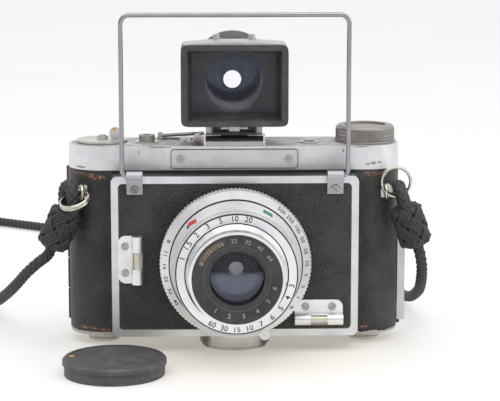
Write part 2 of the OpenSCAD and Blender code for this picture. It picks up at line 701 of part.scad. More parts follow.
// square hood and the taper behind it, without their hollows
module finder_space() {
  upright(-hood_front, hood_y1, finder_z) polygon(pillow(hood_w, hood_h, 18, 64));
  frustum(hood_y1 - 0.1, tube_y0, hood_w - 4.6, 2 * tube_r + 0.2, hood_h - 3.8, 2 * tube_r + 0.2);
}

module finder_hood() color([0.07, 0.07, 0.07]) difference() {
  finder_space();
  upright(-hood_front - 1, 1.2 - hood_front, finder_z) round_square(hood_w - 5.6, hood_h - 5, 1);
  frustum(1.1 - hood_front, 0, hood_w - 6.4, hood_w - 9.6, hood_h - 5.8, hood_h - 8.8);
  box(-glass_w / 2, glass_w / 2, -0.1, 7, finder_z - glass_h / 2, finder_z + glass_h / 2);
  ycyl(0, finder_z, 6.9, tube_y0 + 1, tube_in);
}

// concave front glass, and the eye lens
module finder_glass() color([0.25, 0.3, 0.45, 0.4]) {
  difference() {
    box(-glass_w / 2, glass_w / 2, 0.2, 7, finder_z - glass_h / 2, finder_z + glass_h / 2);
    translate([0, -19.5, finder_z]) sphere(r = 24, $fn = 160);
  }
  ycyl(0, finder_z, tube_y1 - 3.5, tube_y1 - 1.5, tube_in);
}

module finder_tube() color([0.5, 0.5, 0.5]) difference() {
  union() {
    ycyl(0, finder_z, tube_y0, tube_y1 - 4, tube_r);
    ycone(0, finder_z, tube_y1 - 4, tube_y1, tube_r, tube_r + 2.4);
  }
  ycyl(0, finder_z, tube_y0 - 1, tube_y1 + 1, tube_in);
}

// chrome cover on the hood, with two small posts
module hood_cover() color([0.8, 0.8, 0.78]) difference() {
  union() {
    for (s = [-1, 1]) zcyl(s * hood_w / 6, 3, finder_z + hood_h / 2 - 1, finder_z + hood_h / 2 + 3.7, 1.5);
    upright(0.6 - hood_front, hood_y1 - 1, finder_z + hood_h / 2)
      polygon([for (i = [0:16]) let (q = i / 8 - 1) [q * cover_x, 1.3 - 1.2 * q * q], [cover_x, -1.5],
               [-cover_x, -1.5]]);
  }
  finder_space();
}

module eyepiece() color([0.2, 0.2, 0.21]) difference() {
  union() {
    ycyl(0, eye_z, tube_y1, tube_y1 + 3.5, eye_disc_r);
    ycyl(0, eye_z, tube_y1 + 3.4, tube_y1 + 5.5, eye_disc_r - 4.5);
  }
  ycyl(0, finder_z - 2.5, tube_y1 - 1, tube_y1 + 7, 7);
  ycone(0, finder_z, tube_y1 - 0.1, tube_y1 + 1.7, tube_in, tube_in - 2);
}

module finder_foot() color([0.1, 0.1, 0.1]) difference() {
  union() {
    box(-9.3, 9.3, 2.4, 20.4, slot_z0 + 0.05, slot_z1 - 0.05);
    box(-6.1, 6.1, 2.4, 20.4, slot_z1 - 0.06, rail_z1 + 0.3);
    box(-10.2, 10.2, -1.5, 15, rail_z1 + 0.3, finder_z - hood_h / 2 + 0.6);
  }
  box(-9.4, 9.4, -2, 0.6, rail_z1 + 1.6, rail_z1 + 5);
  finder_space();
}

// silver cheeks at both sides of the foot, and the clamp spring in its front slot
module foot_springs() color([0.7, 0.7, 0.68]) {
  for (s = [-1, 1]) difference() {
    box(s > 0 ? 10.2 : -13, s > 0 ? 13 : -10.2, 4, 15, rail_z1 + 0.3, finder_z - hood_h / 2 + 0.6);
    finder_space();
  }
  box(-2.4, 2.4, -1.2, 0.6, rail_z1 + 2, rail_z1 + 4.4);
  for (s = [-1, 1]) box(s > 0 ? 2.4 : -6.2, s > 0 ? 6.2 : -2.4, -0.5, 0.6, rail_z1 + 2.9, rail_z1 + 3.7);
}

module shutter_housing() color([0.09, 0.09, 0.1]) difference() {
  union() {
    ycyl(0, lens_z, ring_y + 3.9, panel_y, ring_r - 3.2);
    ycyl(0, lens_z, panel_y - 0.5, panel_y + 6.2, 16);
    ycyl(0, lens_z, drum_y + 0.4, ring_y + 4, hub_r);
  }
  ycyl(0, lens_z, drum_y - 1, panel_y + 10, 13.5);
  ycyl(0, lens_z, drum_y - 1, drum_y + 6, 18.05);
  ycyl(0, lens_z, panel_y - 22, panel_y - 17, 20);
}

module mount_nut() color([0.15, 0.15, 0.15]) difference() {
  ycyl(0, lens_z, panel_y + panel_t + box_wall, panel_y + panel_t + box_wall + 2, 18.5);
  ycyl(0, lens_z, panel_y, panel_y + 10, 16.05);
  for (s = [-1, 1]) box(s * 17.6 - 0.9, s * 17.6 + 0.9, panel_y + 4.2, panel_y + 7, lens_z - 1, lens_z + 1);
}

module speed_ring() color([0.78, 0.78, 0.78]) translate([0, 0, lens_z]) {
  difference() {
    union() {
      translate([0, ring_y + 3.6, 0]) rotate([90, 0, 0]) toothed(ring_r, 3.7, 120, 0.5);
      ycone(0, 0, ring_y - 3.4, ring_y, drum_r + 0.1, ring_r - 0.7);
    }
    ycyl(0, 0, ring_y - 5, ring_y + 5, hub_r + run);
  }
  // eyelet with a slotted screw on the ring's lower right edge
  rotate([0, 68, 0]) translate([ring_r + 0.6, ring_y + 2.6, 0]) rotate([90, 0, 0]) difference() {
    cylinder(h = 4.6, r = 2.4);
    rotate([0, 0, 30]) translate([-1.5, -0.25, 4.1]) cube([3, 0.5, 1]);
  }
}

module scale_ring() color([0.82, 0.82, 0.82]) translate([0, 0, lens_z]) difference() {
  ycone(0, 0, drum_y, ring_y - 3.6, drum_r2, drum_r);
  ycyl(0, 0, drum_y - 5, ring_y + 5, hub_r + run);
}

module lens_barrel() color([0.8, 0.8, 0.82]) difference() {
  union() {
    ycyl(0, lens_z, drum_y - 0.9, drum_y - 0.1, drum_r2 - 0.4);
    ycyl(0, lens_z, drum_y - 0.2, drum_y + 0.3, hub_r - 0.2);
    ycone(0, lens_z, drum_y - 4, drum_y - 0.8, 20.2, 22.6);
    ycyl(0, lens_z, nose_y + 0.6, drum_y - 3.9, 20.2);
    ycyl(0, lens_z, nose_y, nose_y + 6, barrel_r);
    ycyl(0, lens_z, drum_y + 0.2, drum_y + 5.9, 18);
  }
  ycyl(0, lens_z, nose_y - 1, nose_y + 4.5, 19.8);
  ycyl(0, lens_z, nose_y, drum_y + 7, glass_r + 0.6);
}

module name_ring() color([0.08, 0.08, 0.08]) difference() {
  union() {
    ycyl(0, lens_z, nose_y + 0.5, nose_y + 4.4, 19.7);
  }
  ycyl(0, lens_z, nose_y - 1, nose_y + 6, glass_r);
  ycone(0, lens_z, nose_y + 0.4, nose_y + 2.2, 18.9, 14.4);
}

// a glass disc from y0 to y1 whose front face bulges to a sphere of radius rad
module glass(y0, y1, r, rad) {
  intersection() {
    ycyl(0, lens_z, y0, y1, r);
    translate([0, y0 + rad, lens_z]) sphere(r = rad, $fn = 160);
  }
}

module lens_glass() color([0.1, 0.12, 0.2, 0.5]) {
  glass(nose_y + 1.6, nose_y + 7.6, glass_r, 34);
  glass(nose_y + 9, nose_y + 13, glass_r + 0.6, 60);
  ycyl(0, lens_z, panel_y + 2, panel_y + 5, 9);
}

module rear_cell() color([0.1, 0.1, 0.1]) difference() {
  ycyl(0, lens_z, panel_y - 6, panel_y + 9, 13.45);
  ycyl(0, lens_z, panel_y - 7, panel_y + 10, 9);
}

// five overlapping leaves, each a sector of a thin ring in its own plane
module leaves(y, hole) {
  for (i = [0:4]) translate([0, y + i * 0.2, lens_z]) rotate([90, 0, 0])
    rotate([0, 0, 72 * i]) rotate_extrude(angle = 100) translate([hole, 0]) square([20 - hole, 0.15]);
}

module iris_blades() color([0.2, 0.2, 0.22]) leaves(panel_y - 21.5, 5);

module shutter_blades() color([0.16, 0.16, 0.18]) leaves(panel_y - 19, 11);

// tongue side of the latch: a channel on the body's right end, open to the back
module latch_bar() color([0.78, 0.78, 0.78]) difference() {
  box(latch_x + 0.15, latch_x + 3.6, 7.5, 15.5, latch_z0, latch_z1);
  box(latch_x - 1, latch_x + 2.6, 9, 17, latch_z0 + 1.5, latch_z1 - 1.5);
}

module back_door() color([0.1, 0.1, 0.11]) difference() {
  union() {
    difference() {
      translate([0, 0, body_z0 + gap]) linear_extrude(height = body_h - 2 * gap) difference() {
        stadium(body_r);
        front_part();
        translate([-body_w, split_y - 1]) square([2 * body_w, 1 + 0.15]);
      }
      translate([0, 0, body_z0 + 1.6]) linear_extrude(height = body_h - 3.2) stadium(body_r - 1.5);
    }
    for (s = [0, 1]) knuckle((s + 0.5) * knuckle_step + knuckle_z0, 1);
    // catch tongue that runs forward into the latch channel
    box(latch_x - 8.4, latch_x + 1.8, split_y + 0.5, split_y + 1.7, catch_z0, catch_z1);
    box(latch_x + 0.6, latch_x + 1.8, 11, split_y + 1.7, catch_z0, catch_z1);
  }
  hinge_bore();
}

module door_leather() color([0.06, 0.06, 0.06])
  translate([0, 0, body_z0 + 0.6]) linear_extrude(height = body_h - 1.2) difference() {
    stadium(body_r + leather_t);
    stadium(body_r);
    translate([-body_w, split_y - 40]) square([2 * body_w, 40 + 2.2]);
  }

module pressure_plate() color([0.14, 0.14, 0.15])
  box(-gate_x - 5, gate_x + 5, film_y + 0.3, film_y + 1.5, gate_z0 - 5, gate_z1 + 5);

// two bowed leaves that press the plate to the gate
module pressure_springs() color([0.6, 0.6, 0.6]) for (x = [20 - gate_x, gate_x - 20]) intersection() {
  translate([x, back_y - 1.5 - bow_r, gate_mid - 10]) difference() {
    cylinder(h = 20, r = bow_r, $fn = 120);
    translate([0, 0, -1]) cylinder(h = 22, r = bow_r - 0.3, $fn = 120);
  }
  box(x - 20, x + 20, film_y + 1.5, back_y, gate_mid - 15, gate_mid + 15);
}

module hinge_pin() color([0.6, 0.6, 0.6]) zcyl(hinge_x, hinge_y, knuckle_z0, body_z1 - 1.4, hinge_pin_r);

module lens_cap() color([0.12, 0.12, 0.12]) translate([cap_x, cap_y, 0]) difference() {
  union() {
    cylinder(h = cap_h - 2.4, r = cap_r);
    translate([0, 0, cap_h - 2.5]) cylinder(h = 1.7, r = cap_r + 0.8);
    translate([0, 0, cap_h - 0.8]) cylinder(h = 0.8, r1 = cap_r + 0.8, r2 = cap_r);
  }
  translate([0, 0, -1]) cylinder(h = cap_h - 0.8, r = barrel_r + run);
  translate([0, 0, cap_h - 0.35]) cylinder(h = 1, r = cap_r - 1.4);
}

// barrel of a woven knot, its axis along Z
module knot() {
  intersection() {
    sphere(r = sqrt(knot_l * knot_l / 4 + 16));
    cylinder(h = knot_l, r = knot_r, center = true);
  }
}

// eye of cord: two legs side by side along Y, joined over the top; the origin is the bend's centre
module eye(leg) {
  translate([0, 0, -leg]) for (y = [-1, 1]) translate([0, y * eye_r, 0]) cylinder(h = leg, r = cord_r - 0.1);
  rotate([90, 0, 90]) rotate_extrude(angle = 180) translate([eye_r, 0]) circle(cord_r - 0.1);
}

module strap_knots() color([0.07, 0.07, 0.07]) {
  translate([lug_x + 11.5, lug_y - 1.2, lug_z - 15.7]) rotate([0, -18.8, 0]) {
    knot();
    translate([0.5, 0.7, 14.6]) eye(8);
  }
  translate([-lug_x - 10.6, lug_y - 0.2, lug_z - 16.4]) rotate([0, 24.7, 0]) knot();
  translate([-lug_x - 6.4, lug_y, lug_z - 1.3]) rotate([0, 0, 30]) eye(9);
}

// the strap's cord: left knot, table, a turn behind on the left, behind the body, right knot
strap_route = [
  [-84.1, -5, 47.2], [-85.9, -5.2, 43.3], [-90.5, -6.3, 39.8], [-96, -3.5, 34.5], [-101, 4, 28],
  [-106, 16, 21.5], [-110, 28, 16.5], [-114, 42, 11.5], [-118, 57, 7], [-122, 74, 4],
  [-127, 95, 2.9], [-136, 130, 2.9],
  [-147, 170, 2.9], [-158, 210, 2.9], [-167, 245, 2.9], [-172, 272, 2.9], [-171, 291, 2.9], [-162, 303, 2.9],
  [-149, 303.5, 2.9], [-139, 297.5, 2.9], [-109, 277, 2.9], [-80, 257, 2.9], [-45, 232, 2.9],
  [-12, 207, 2.9], [20, 180, 2.9], [48, 152, 2.9], [70, 124, 2.9], [83, 98, 3.4], [87, 77, 5],
  [88, 60, 8], [88.5, 45, 12],
  [88.5, 30, 17], [88.4, 18, 21.5], [87.8, 8, 26.5], [87.2, 0, 32],
  [86.6, -4.5, 37.5], [85.5, -6, 43.3], [84.1, -6, 47.5]];
steps = 2;

function unit(v) = v / norm(v);

// point at t between the second and third of four points
function blend(a, b, c, d, t) = 0.5 * (2 * b + (c - a) * t + (2 * a - 5 * b + 4 * c - d) * t * t
  + (3 * b - a - 3 * c + d) * t * t * t);

function smooth(p, n) = let (m = len(p) - 1) concat([for (i = [0:m - 1]) for (k = [0:n - 1])
  blend(p[max(i - 1, 0)], p[i], p[i + 1], p[min(i + 2, m)], k / n)], [p[m]]);

function tangents(q) = [for (i = [0:len(q) - 1]) unit(q[min(i + 1, len(q) - 1)] - q[max(i - 1, 0)])];

// carries one side direction along the tangents without twist
function carry(ts, i, v) = i >= len(ts) ? [] :
  let (w = unit(v - (v * ts[i]) * ts[i])) concat([w], carry(ts, i + 1, w));

module sweep(q, r, sides) {
  ts = tangents(q);
  ns = carry(ts, 0, [0, 1, 0]);
  n = len(q);
  points = [for (i = [0:n - 1]) for (k = [0:sides - 1]) let (a = 360 * k / sides)
    q[i] + r * (cos(a) * ns[i] + sin(a) * cross(ts[i], ns[i]))];
  wall_faces = [for (i = [0:n - 2]) for (k = [0:sides - 1]) for (h = [0, 1])
    let (a = i * sides + k, b = i * sides + (k + 1) % sides)
    h == 0 ? [a, a + sides, b] : [b, a + sides, b + sides]];
  caps = [for (k = [1:sides - 2]) for (h = [0, 1]) h == 0 ? [0, k, k + 1] :
    [(n - 1) * sides, (n - 1) * sides + k + 1, (n - 1) * sides + k]];
  polyhedron(points, concat(wall_faces, caps), convexity = 10);
}

module strap() color([0.08, 0.08, 0.08]) sweep(smooth(strap_route, steps), cord_r, 10);

body_shell();
light_cone();
top_plate();
top_inlay();
bottom_plate();
front_box();
panel_border();
panel_leather();
body_leather();
nameplate();
front_screws();
frame_clips();
level_bases();
level_vials();
accessory_shoe();
sight_bracket();
flash_socket();
top_bezels();
counter_glass();
strap_lugs();
strap_rings();
tripod_socket();
shutter_housing();
mount_nut();
lens_barrel();
name_ring();
lens_glass();
rear_cell();
iris_blades();
shutter_blades();
hinge_pin();
wire_frame();
peep_sight();
finder_hood();
hood_cover();
finder_glass();
finder_tube();
eyepiece();
finder_foot();
foot_springs();
wind_knob();
wind_shaft();
takeup_spool();
supply_crank();
supply_spool();
idler_gear();
counter_dial();
release_button();
speed_ring();
scale_ring();
back_door();
door_leather();
pressure_plate();
pressure_springs();
latch_bar();
spool_knob_left();
spool_knob_right();
lens_cap();
strap();
strap_knots();
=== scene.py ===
import math

import bpy
from mathutils import Matrix, Vector


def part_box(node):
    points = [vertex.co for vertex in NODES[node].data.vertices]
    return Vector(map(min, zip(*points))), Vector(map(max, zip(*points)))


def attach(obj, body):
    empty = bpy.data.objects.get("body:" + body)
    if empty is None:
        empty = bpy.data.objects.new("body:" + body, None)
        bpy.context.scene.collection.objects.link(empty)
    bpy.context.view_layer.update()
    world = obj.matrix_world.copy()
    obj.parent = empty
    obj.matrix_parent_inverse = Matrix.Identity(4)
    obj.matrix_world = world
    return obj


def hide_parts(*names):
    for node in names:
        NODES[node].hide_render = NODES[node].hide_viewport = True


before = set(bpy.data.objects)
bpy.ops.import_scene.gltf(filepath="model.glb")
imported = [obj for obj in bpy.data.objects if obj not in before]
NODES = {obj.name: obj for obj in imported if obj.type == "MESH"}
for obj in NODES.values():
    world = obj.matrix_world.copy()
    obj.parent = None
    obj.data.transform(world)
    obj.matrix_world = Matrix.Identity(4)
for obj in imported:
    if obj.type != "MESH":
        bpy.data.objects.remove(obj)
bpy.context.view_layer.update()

MM = 0.001


# Shader formulas
class E:
    """A shader value. Python arithmetic on it adds Math nodes to the material in work."""
    tree = None

    def __init__(self, socket):
        self.s = socket

    def math(self, op, *rest):
        n = add("ShaderNodeMath", operation=op)
        for i, v in enumerate((self,) + rest):
            put(n, i, v)
        return E(n.outputs[0])

    def __add__(self, v):
        return self.math("ADD", v)

    def __radd__(self, v):
        return self.math("ADD", v)

    def __sub__(self, v):
        return self.math("SUBTRACT", v)

    def __rsub__(self, v):
        return (self * -1) + v

    def __mul__(self, v):
        return self.math("MULTIPLY", v)

    def __rmul__(self, v):
        return self.math("MULTIPLY", v)

    def __truediv__(self, v):
        return self.math("DIVIDE", v)

    def __gt__(self, v):
        return self.math("GREATER_THAN", v)

    def __lt__(self, v):
        return self.math("LESS_THAN", v)

    def __pow__(self, v):
        return self.math("POWER", v)

    def abs(self):
        return self.math("ABSOLUTE")

    def fract(self):
        return self.math("FRACT")

    def sqrt(self):
        return self.math("SQRT")

    def max(self, v):
        return self.math("MAXIMUM", v)


def put(n, key, v):
    """Gives a node's input a value, or a link to one."""
    if isinstance(v, E):
        E.tree.links.new(v.s, n.inputs[key])
    else:
        n.inputs[key].default_value = v


def add(kind, ins=None, **props):
    """A new node in the material in work: its settings first, then its inputs."""
    n = E.tree.nodes.new(kind)
    for k, v in props.items():
        setattr(n, k, v)
    for k, v in (ins or {}).items():
        put(n, k, v)
    return n


def place():
    """Object coordinates in millimetres, which are the frame's."""
    c = E(add("ShaderNodeTexCoord").outputs["Object"])
    return E(add("ShaderNodeVectorMath", {0: c, "Scale": 1000.0}, operation="SCALE").outputs[0])


def parts(v):
    """The x, y and z of a vector."""
    n = add("ShaderNodeSeparateXYZ", {0: v})
    return [E(o) for o in n.outputs]


def vec(x, y, z):
    return E(add("ShaderNodeCombineXYZ", {0: x, 1: y, 2: z}).outputs[0])


def noise(p, scale, detail=2.0, rough=0.5):
    n = add("ShaderNodeTexNoise", {"Vector": p, "Scale": scale, "Detail": detail, "Roughness": rough})
    return E(n.outputs["Fac"])


def cells(p, scale, feature="F1"):
    n = add("ShaderNodeTexVoronoi", {"Vector": p, "Scale": scale}, feature=feature)
    return E(n.outputs["Distance"])


def ramp(v, a, b, lo=0.0, hi=1.0):
    """A soft step of v, from lo at a to hi at b."""
    n = add("ShaderNodeMapRange", {0: v, 1: a, 2: b, 3: lo, 4: hi}, interpolation_type="SMOOTHSTEP")
    return E(n.outputs[0])


def mix(f, a, b):
    """The colour a where f is 0 and b where it is 1."""
    a, b = [v if isinstance(v, E) else (*v, 1.0) for v in (a, b)]
    n = add("ShaderNodeMix", {0: f, 6: a, 7: b}, data_type="RGBA", clamp_factor=True)
    return E(n.outputs[2])


def bump(h, strength, depth):
    """depth is the height in millimetres that h = 1 stands for."""
    n = add("ShaderNodeBump", {"Height": h, "Strength": strength, "Distance": depth * MM})
    return E(n.outputs[0])


def edge(r):
    """1 on convex and concave edges, within about r millimetres."""
    soft = E(add("ShaderNodeBevel", {"Radius": r * MM}, samples=4).outputs[0])
    hard = E(add("ShaderNodeNewGeometry").outputs["Normal"])
    d = E(add("ShaderNodeVectorMath", {0: soft, 1: hard}, operation="DOT_PRODUCT").outputs["Value"])
    return ramp(d, 0.97, 0.7)


def material(name, build, **fixed):
    """A material with its shader's inputs from build(), and fixed for those that are one value."""
    m = bpy.data.materials.new(name)
    m.use_nodes = True
    E.tree = m.node_tree
    b = E.tree.nodes["Principled BSDF"]
    for k, v in fixed.items():
        b.inputs[k.replace("_", " ")].default_value = v
    for k, v in build().items():
        put(b, k, v)
    return m


# Materials
def blob(p, x, z, rx, rz):
    """1 in a ragged patch centred on (x, z), seen from the front."""
    px, _, pz = parts(p)
    d = ((px - x) / rx) ** 2.0 + ((pz - z) / rz) ** 2.0
    return ramp(d + (noise(p, 0.9, 5, 0.7) - 0.5) * 2.6, 1.0, 0.8)


def any_of(items):
    """The highest of several masks."""
    out = items[0]
    for i in items[1:]:
        out = out.max(i)
    return out


def band(v, lo, hi, soft):
    """1 where v lies between lo and hi."""
    return ramp(v, lo - soft, lo + soft) * ramp(v, hi + soft, hi - soft)


def leather(flakes=(), base=(0.022, 0.0205, 0.0195), trim=None):
    """Pebbled leather: grain of about half a millimetre, rubbed high spots, dust, and flakes of bare
    board. trim is the panel's half width, middle height and half height, brown along the rim."""
    def build():
        p = place()
        clump = noise(p, 0.8, 3, 0.6)
        pebble = cells(p, 1.55, "SMOOTH_F1") * 1.3 + noise(p, 2.4, 3, 0.7) * 0.5
        fine = noise(p, 8.0, 2)
        rub = ramp(noise(p, 0.07, 3, 0.6) + clump * 0.2, 0.5, 0.75)
        top = ramp(pebble, 0.75, 0.35)
        col = mix(rub, base, tuple(c * 2.0 for c in base))
        col = mix(top * ramp(clump, 0.40, 0.60) * 0.7, col, (0.105, 0.098, 0.09))
        speck = ramp(noise(p, 5.5, 3, 0.7), 0.62, 0.72) * ramp(clump, 0.45, 0.65)
        col = mix(speck * 0.7, col, (0.25, 0.23, 0.20))
        col = mix(ramp(cells(p, 0.2), 0.045, 0.025) * 0.8, col, (0.45, 0.42, 0.38))
        if flakes:
            chip = any_of([blob(p, *flake) for flake in flakes])
            ragged = noise(p, 1.1, 5, 0.75)
            tone = mix(ramp(ragged, 0.42, 0.52), (0.045, 0.02, 0.014), (0.20, 0.075, 0.04))
            tone = mix(ramp(ragged, 0.53, 0.6), tone, (0.62, 0.43, 0.31))
            col = mix(chip, col, tone)
        if trim:
            px, _, pz = parts(p)
            half_width, middle, half_height = trim
            rim = (px.abs() - half_width).max((pz - middle).abs() - half_height)
            col = mix(ramp(rim, -0.15, 0.1) * 0.85, col, (0.16, 0.105, 0.04))
        return {"Base Color": col, "Roughness": 0.33 + fine * 0.16 + rub * 0.08,
                "Normal": bump(pebble * -1 + fine * 0.12, 1.0, 0.34)}
    return build


def metal(base, rough, grime=0.5, worn=0.5, lines=None, edge_wear_and_shade_tone=(0.33, 0.25, 0.17), paint=None, body=1.0):
    """Plated metal: soft cloudy stains, darker pits, and the edge tone on its convex and concave edges,
    which is brown wear where the plate has worn off, and on the screws dark painted shade in the slots and
    round the heads.
    lines(p, colour) draws on it, paint(p) is 1 where it is painted black, and body is how metallic the
    finish is."""
    def build():
        p = place()
        cloud = noise(p, 0.11, 4, 0.6)
        pits = ramp(noise(p, 2.2, 4, 0.75), 0.64, 0.72) * ramp(noise(p, 0.25, 2), 0.5, 0.66)
        col = mix(ramp(cloud, 0.35, 0.7), base, tuple(c * 0.88 for c in base))
        col = mix(pits * grime, col, (0.2, 0.17, 0.14))
        if worn:
            # On the screws this is painted shade: near black in the slots and round the heads.
            bare = edge(0.45) * ramp(noise(p, 0.55, 4, 0.7), 0.6 - 0.12 * worn, 0.66)
            col = mix(bare * 0.85, col, edge_wear_and_shade_tone)
        if lines:
            col = lines(p, col)
        fine = noise(p, 6.0, 2)
        out = {"Roughness": rough + cloud * 0.12 + pits * 0.2, "Metallic": body,
               "Normal": bump(fine + noise(p, 0.4, 2) * 2, 0.18, 0.02)}
        if paint:
            black_part = paint(p)
            col = mix(black_part, col, (0.012, 0.012, 0.012))
            out["Metallic"] = (1 - black_part) * body
            out["Roughness"] = out["Roughness"] + black_part * 0.4
        out["Base Color"] = col
        return out
    return build


def black(base, rough, worn=0.4, wear=(0.2, 0.19, 0.18), texture=0.12, scale=4.0, marks=None):
    """Black paint: cloudy, dusty, and rubbed on its edges to the tone wear. texture is the strength of
    its grain and scale how fine that is; marks(p, colour) draws on it."""
    def build():
        p = place()
        cloud = noise(p, 0.15, 3, 0.6)
        col = mix(ramp(cloud, 0.4, 0.7), base, tuple(c * 1.6 for c in base))
        if worn:
            col = mix(edge(0.35) * ramp(noise(p, 0.8, 4, 0.7), 0.62 - 0.15 * worn, 0.68), col, wear)
        dust = ramp(noise(p, 7.0, 2, 0.6), 0.66, 0.76)
        col = mix(dust * 0.35, col, (0.16, 0.155, 0.15))
        if marks:
            col = marks(p, col)
        return {"Base Color": col, "Roughness": rough + cloud * 0.1,
                "Normal": bump(noise(p, scale, 3, 0.6), texture, 0.06)}
    return build


def coated_glass(share, dust=0.2, table=None):
    """Thin coated glass: clear, with a share of bluish reflection, dust and a few cleaning marks. Where the
    height table is given, the reflection is painted by height: stronger below it, a painted reflection of
    the pale table, and weaker above it, a painted reflection of the dark room."""
    def build():
        p = place()
        px, py, pz = parts(p)
        specks = ramp(noise(p, 3.5, 3, 0.7), 0.74, 0.8)
        wipe = noise(vec(px * 0.5 + pz * 0.4, py, pz * 2.2), 0.8, 4, 0.7)
        # Painted reflection: the mirror's share raised below the height table and lowered above it.
        coat_and_painted_sheen = ramp(pz, table + 0.3, table - 0.3, 0.35, 2.6) * share if table else share
        return {"Base Color": mix(specks, (0.70, 0.74, 0.95), (0.8, 0.78, 0.74)), "Metallic": 1 - specks,
                "Roughness": 0.03 + ramp(wipe, 0.6, 0.8) * 0.1,
                "Alpha": coat_and_painted_sheen + specks * dust + ramp(wipe, 0.62, 0.8) * 0.01}
    return build


# Places on the camera, in millimetres
AXIS_Z = 43.3
DRUM_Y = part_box("scale_ring")[0][1] / MM
ROOT_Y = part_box("scale_ring")[1][1] / MM
NOSE_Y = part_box("lens_barrel")[0][1] / MM
PLATE_LO, PLATE_HI = [[v / MM for v in c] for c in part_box("nameplate")]
PLATE_CORNER = 1.6
TUBE_Z = 121.7
TUBE_HOLE = 13.6
TUBE_END_Y = 50.5
DISC_Z = 123.3
KNOB_FOOT_Z = 96.5
KNOB_SPOT_X, KNOB_SPOT_Z = -55.5, 99.5
CAP_CHIP_X, CAP_CHIP_Y = -72.7, -49.5


def lens_polar(p):
    """Distance from the lens axis, the angle from straight up, in degrees clockwise as the viewer sees
    it, and the place along the axis."""
    px, py, pz = parts(p)
    dz = pz - AXIS_Z
    r = (px * px + dz * dz).sqrt()
    a = px.math("ARCTAN2", dz) * (180 / math.pi)
    return r, a, py


def ring_lines(p, col):
    """Speed ring: a painted highlight, its colour lighter towards the lower left where the ring mirrors the
    pale table, and the black line in front.
    """
    r, _, _ = lens_polar(p)
    px, _, pz = parts(p)
    # Painted highlight: lighter towards the lower left, standing in for the pale table mirrored there.
    col = mix(ramp(pz + px * 0.4, AXIS_Z + 14, AXIS_Z - 16) * 0.9, col, (0.96, 0.95, 0.945))
    return mix(band(r, 29.3, 30.1, 0.1), col, (0.012, 0.012, 0.012))


def scale_lines(p, col):
    """Fine ticks near the drum's front edge, and the red and green marks at its root."""
    _, a, y = lens_polar(p)
    tick = ((a / 1.5 + 0.5).fract() - 0.5).abs() < 0.17
    ticks = tick * band(y - DRUM_Y, 0.9, 4.4, 0.05) * band(a, -62.0, 62.0, 0.5)
    col = mix(ticks * 0.75, col, (0.16, 0.15, 0.15))
    slant = ramp(a, -48.0, -38.0, 0.0, -3.0)
    teeth = ((a / 3.1).fract() - 0.5).abs() < 0.4
    green = band(a, 24.6, 34.2, 0.1) * band(y - DRUM_Y, 8.5, 13.9, 0.1)
    red = band(a, -47.2, -38.2, 0.1) * band(y - slant - DRUM_Y, 9.3, 15.1, 0.1)
    dark = band(a, -49.4, -47.2, 0.1) * band(y - slant - DRUM_Y, 8.3, 12.7, 0.1)
    col = mix(green * (0.65 + teeth * 0.35), col, (0.02, 0.27, 0.16))
    col = mix(red * (0.8 + teeth * 0.2), col, (0.72, 0.035, 0.012))
    col = mix(dark, col, (0.01, 0.01, 0.01))
    return mix(y > ROOT_Y - 0.5, col, (0.015, 0.015, 0.015))


def barrel_lines(p, col):
    """The black lines turned into the barrel's face and round its foot."""
    r, _, y = lens_polar(p)
    lines = (band(r, 22.45, 22.95, 0.05) * (y < DRUM_Y - 0.7)).max((r > 26.4) * (y < DRUM_Y))
    return mix(lines, col, (0.02, 0.02, 0.02))


def bore(p):
    """The barrel is black inside."""
    r, _, _ = lens_polar(p)
    return ramp(r, 13.1, 12.9)


def warm_arc(p, col):
    """Name ring: the black rubbed to bronze at the upper left, and thin turned edges."""
    r, a, _ = lens_polar(p)
    rubbed = band(a, -62.0, -22.0, 8.0) * band(r, 15.9, 18.3, 0.5) * (0.55 + noise(p, 0.7, 3) * 0.6)
    col = mix(rubbed * 0.8, col, (0.27, 0.19, 0.10))
    return mix(band(r, 14.3, 14.75, 0.1) * 0.7, col, (0.1, 0.095, 0.09))


# Middle, half width and half height of each brown mark, as blob() takes them
RUB_MARKS = [
    (-34.3, 92.9, 5.5, 0.35), (49.8, 91.2, 0.5, 1.0), (61.2, 84.9, 1.2, 0.45), (63.8, 85.2, 1.3, 0.65),
    (66.6, 85.5, 1.0, 0.5), (-43.6, 90.4, 0.3, 1.2), (58.0, 92.8, 4.0, 0.3), (-70.5, 83.6, 2.5, 0.5)]


def plate_marks(p, col):
    """Brown rub marks on the top plate's front."""
    spots = any_of([blob(p, *mark) for mark in RUB_MARKS])
    return mix(spots * 0.8, col, (0.27, 0.19, 0.12))


def outline(p, col):
    """Dark line round the nameplate: its joint, with the shade at the plate's raised edge painted into it.
    """
    px, _, pz = parts(p)
    middle = (PLATE_LO[2] + PLATE_HI[2]) / 2
    half_height = (PLATE_HI[2] - PLATE_LO[2]) / 2
    qx = (px.abs() - (PLATE_HI[0] - PLATE_CORNER)).max(0.0)
    qz = ((pz - middle).abs() - (half_height - PLATE_CORNER)).max(0.0)
    rim = (qx * qx + qz * qz).sqrt() - PLATE_CORNER
    return mix(ramp(rim, -0.55, -0.25) * 0.85, col, (0.06, 0.055, 0.05))


def lip(p):
    """Black paint left on the bottom plate's upper part, ragged below; more of it on the right."""
    px, _, pz = parts(p)
    line = ramp(px, -20.0, 40.0, 6.9, 6.1) + (noise(p, 0.45, 4, 0.65) - 0.5) * 5
    return ramp(pz - line, -0.1, 0.25)


def crank_marks(p, col):
    """Yellow brass rubbed bare on the finger knob's upper edge."""
    px, _, pz = parts(p)
    d = ((px - KNOB_SPOT_X) / 1.5) ** 2.0 + ((pz - KNOB_SPOT_Z) / 0.9) ** 2.0
    spot = ramp(d + (noise(p, 1.5, 3) - 0.5), 1.0, 0.7)
    return mix(spot * (pz > KNOB_FOOT_Z) * 0.85, col, (0.62, 0.42, 0.10))


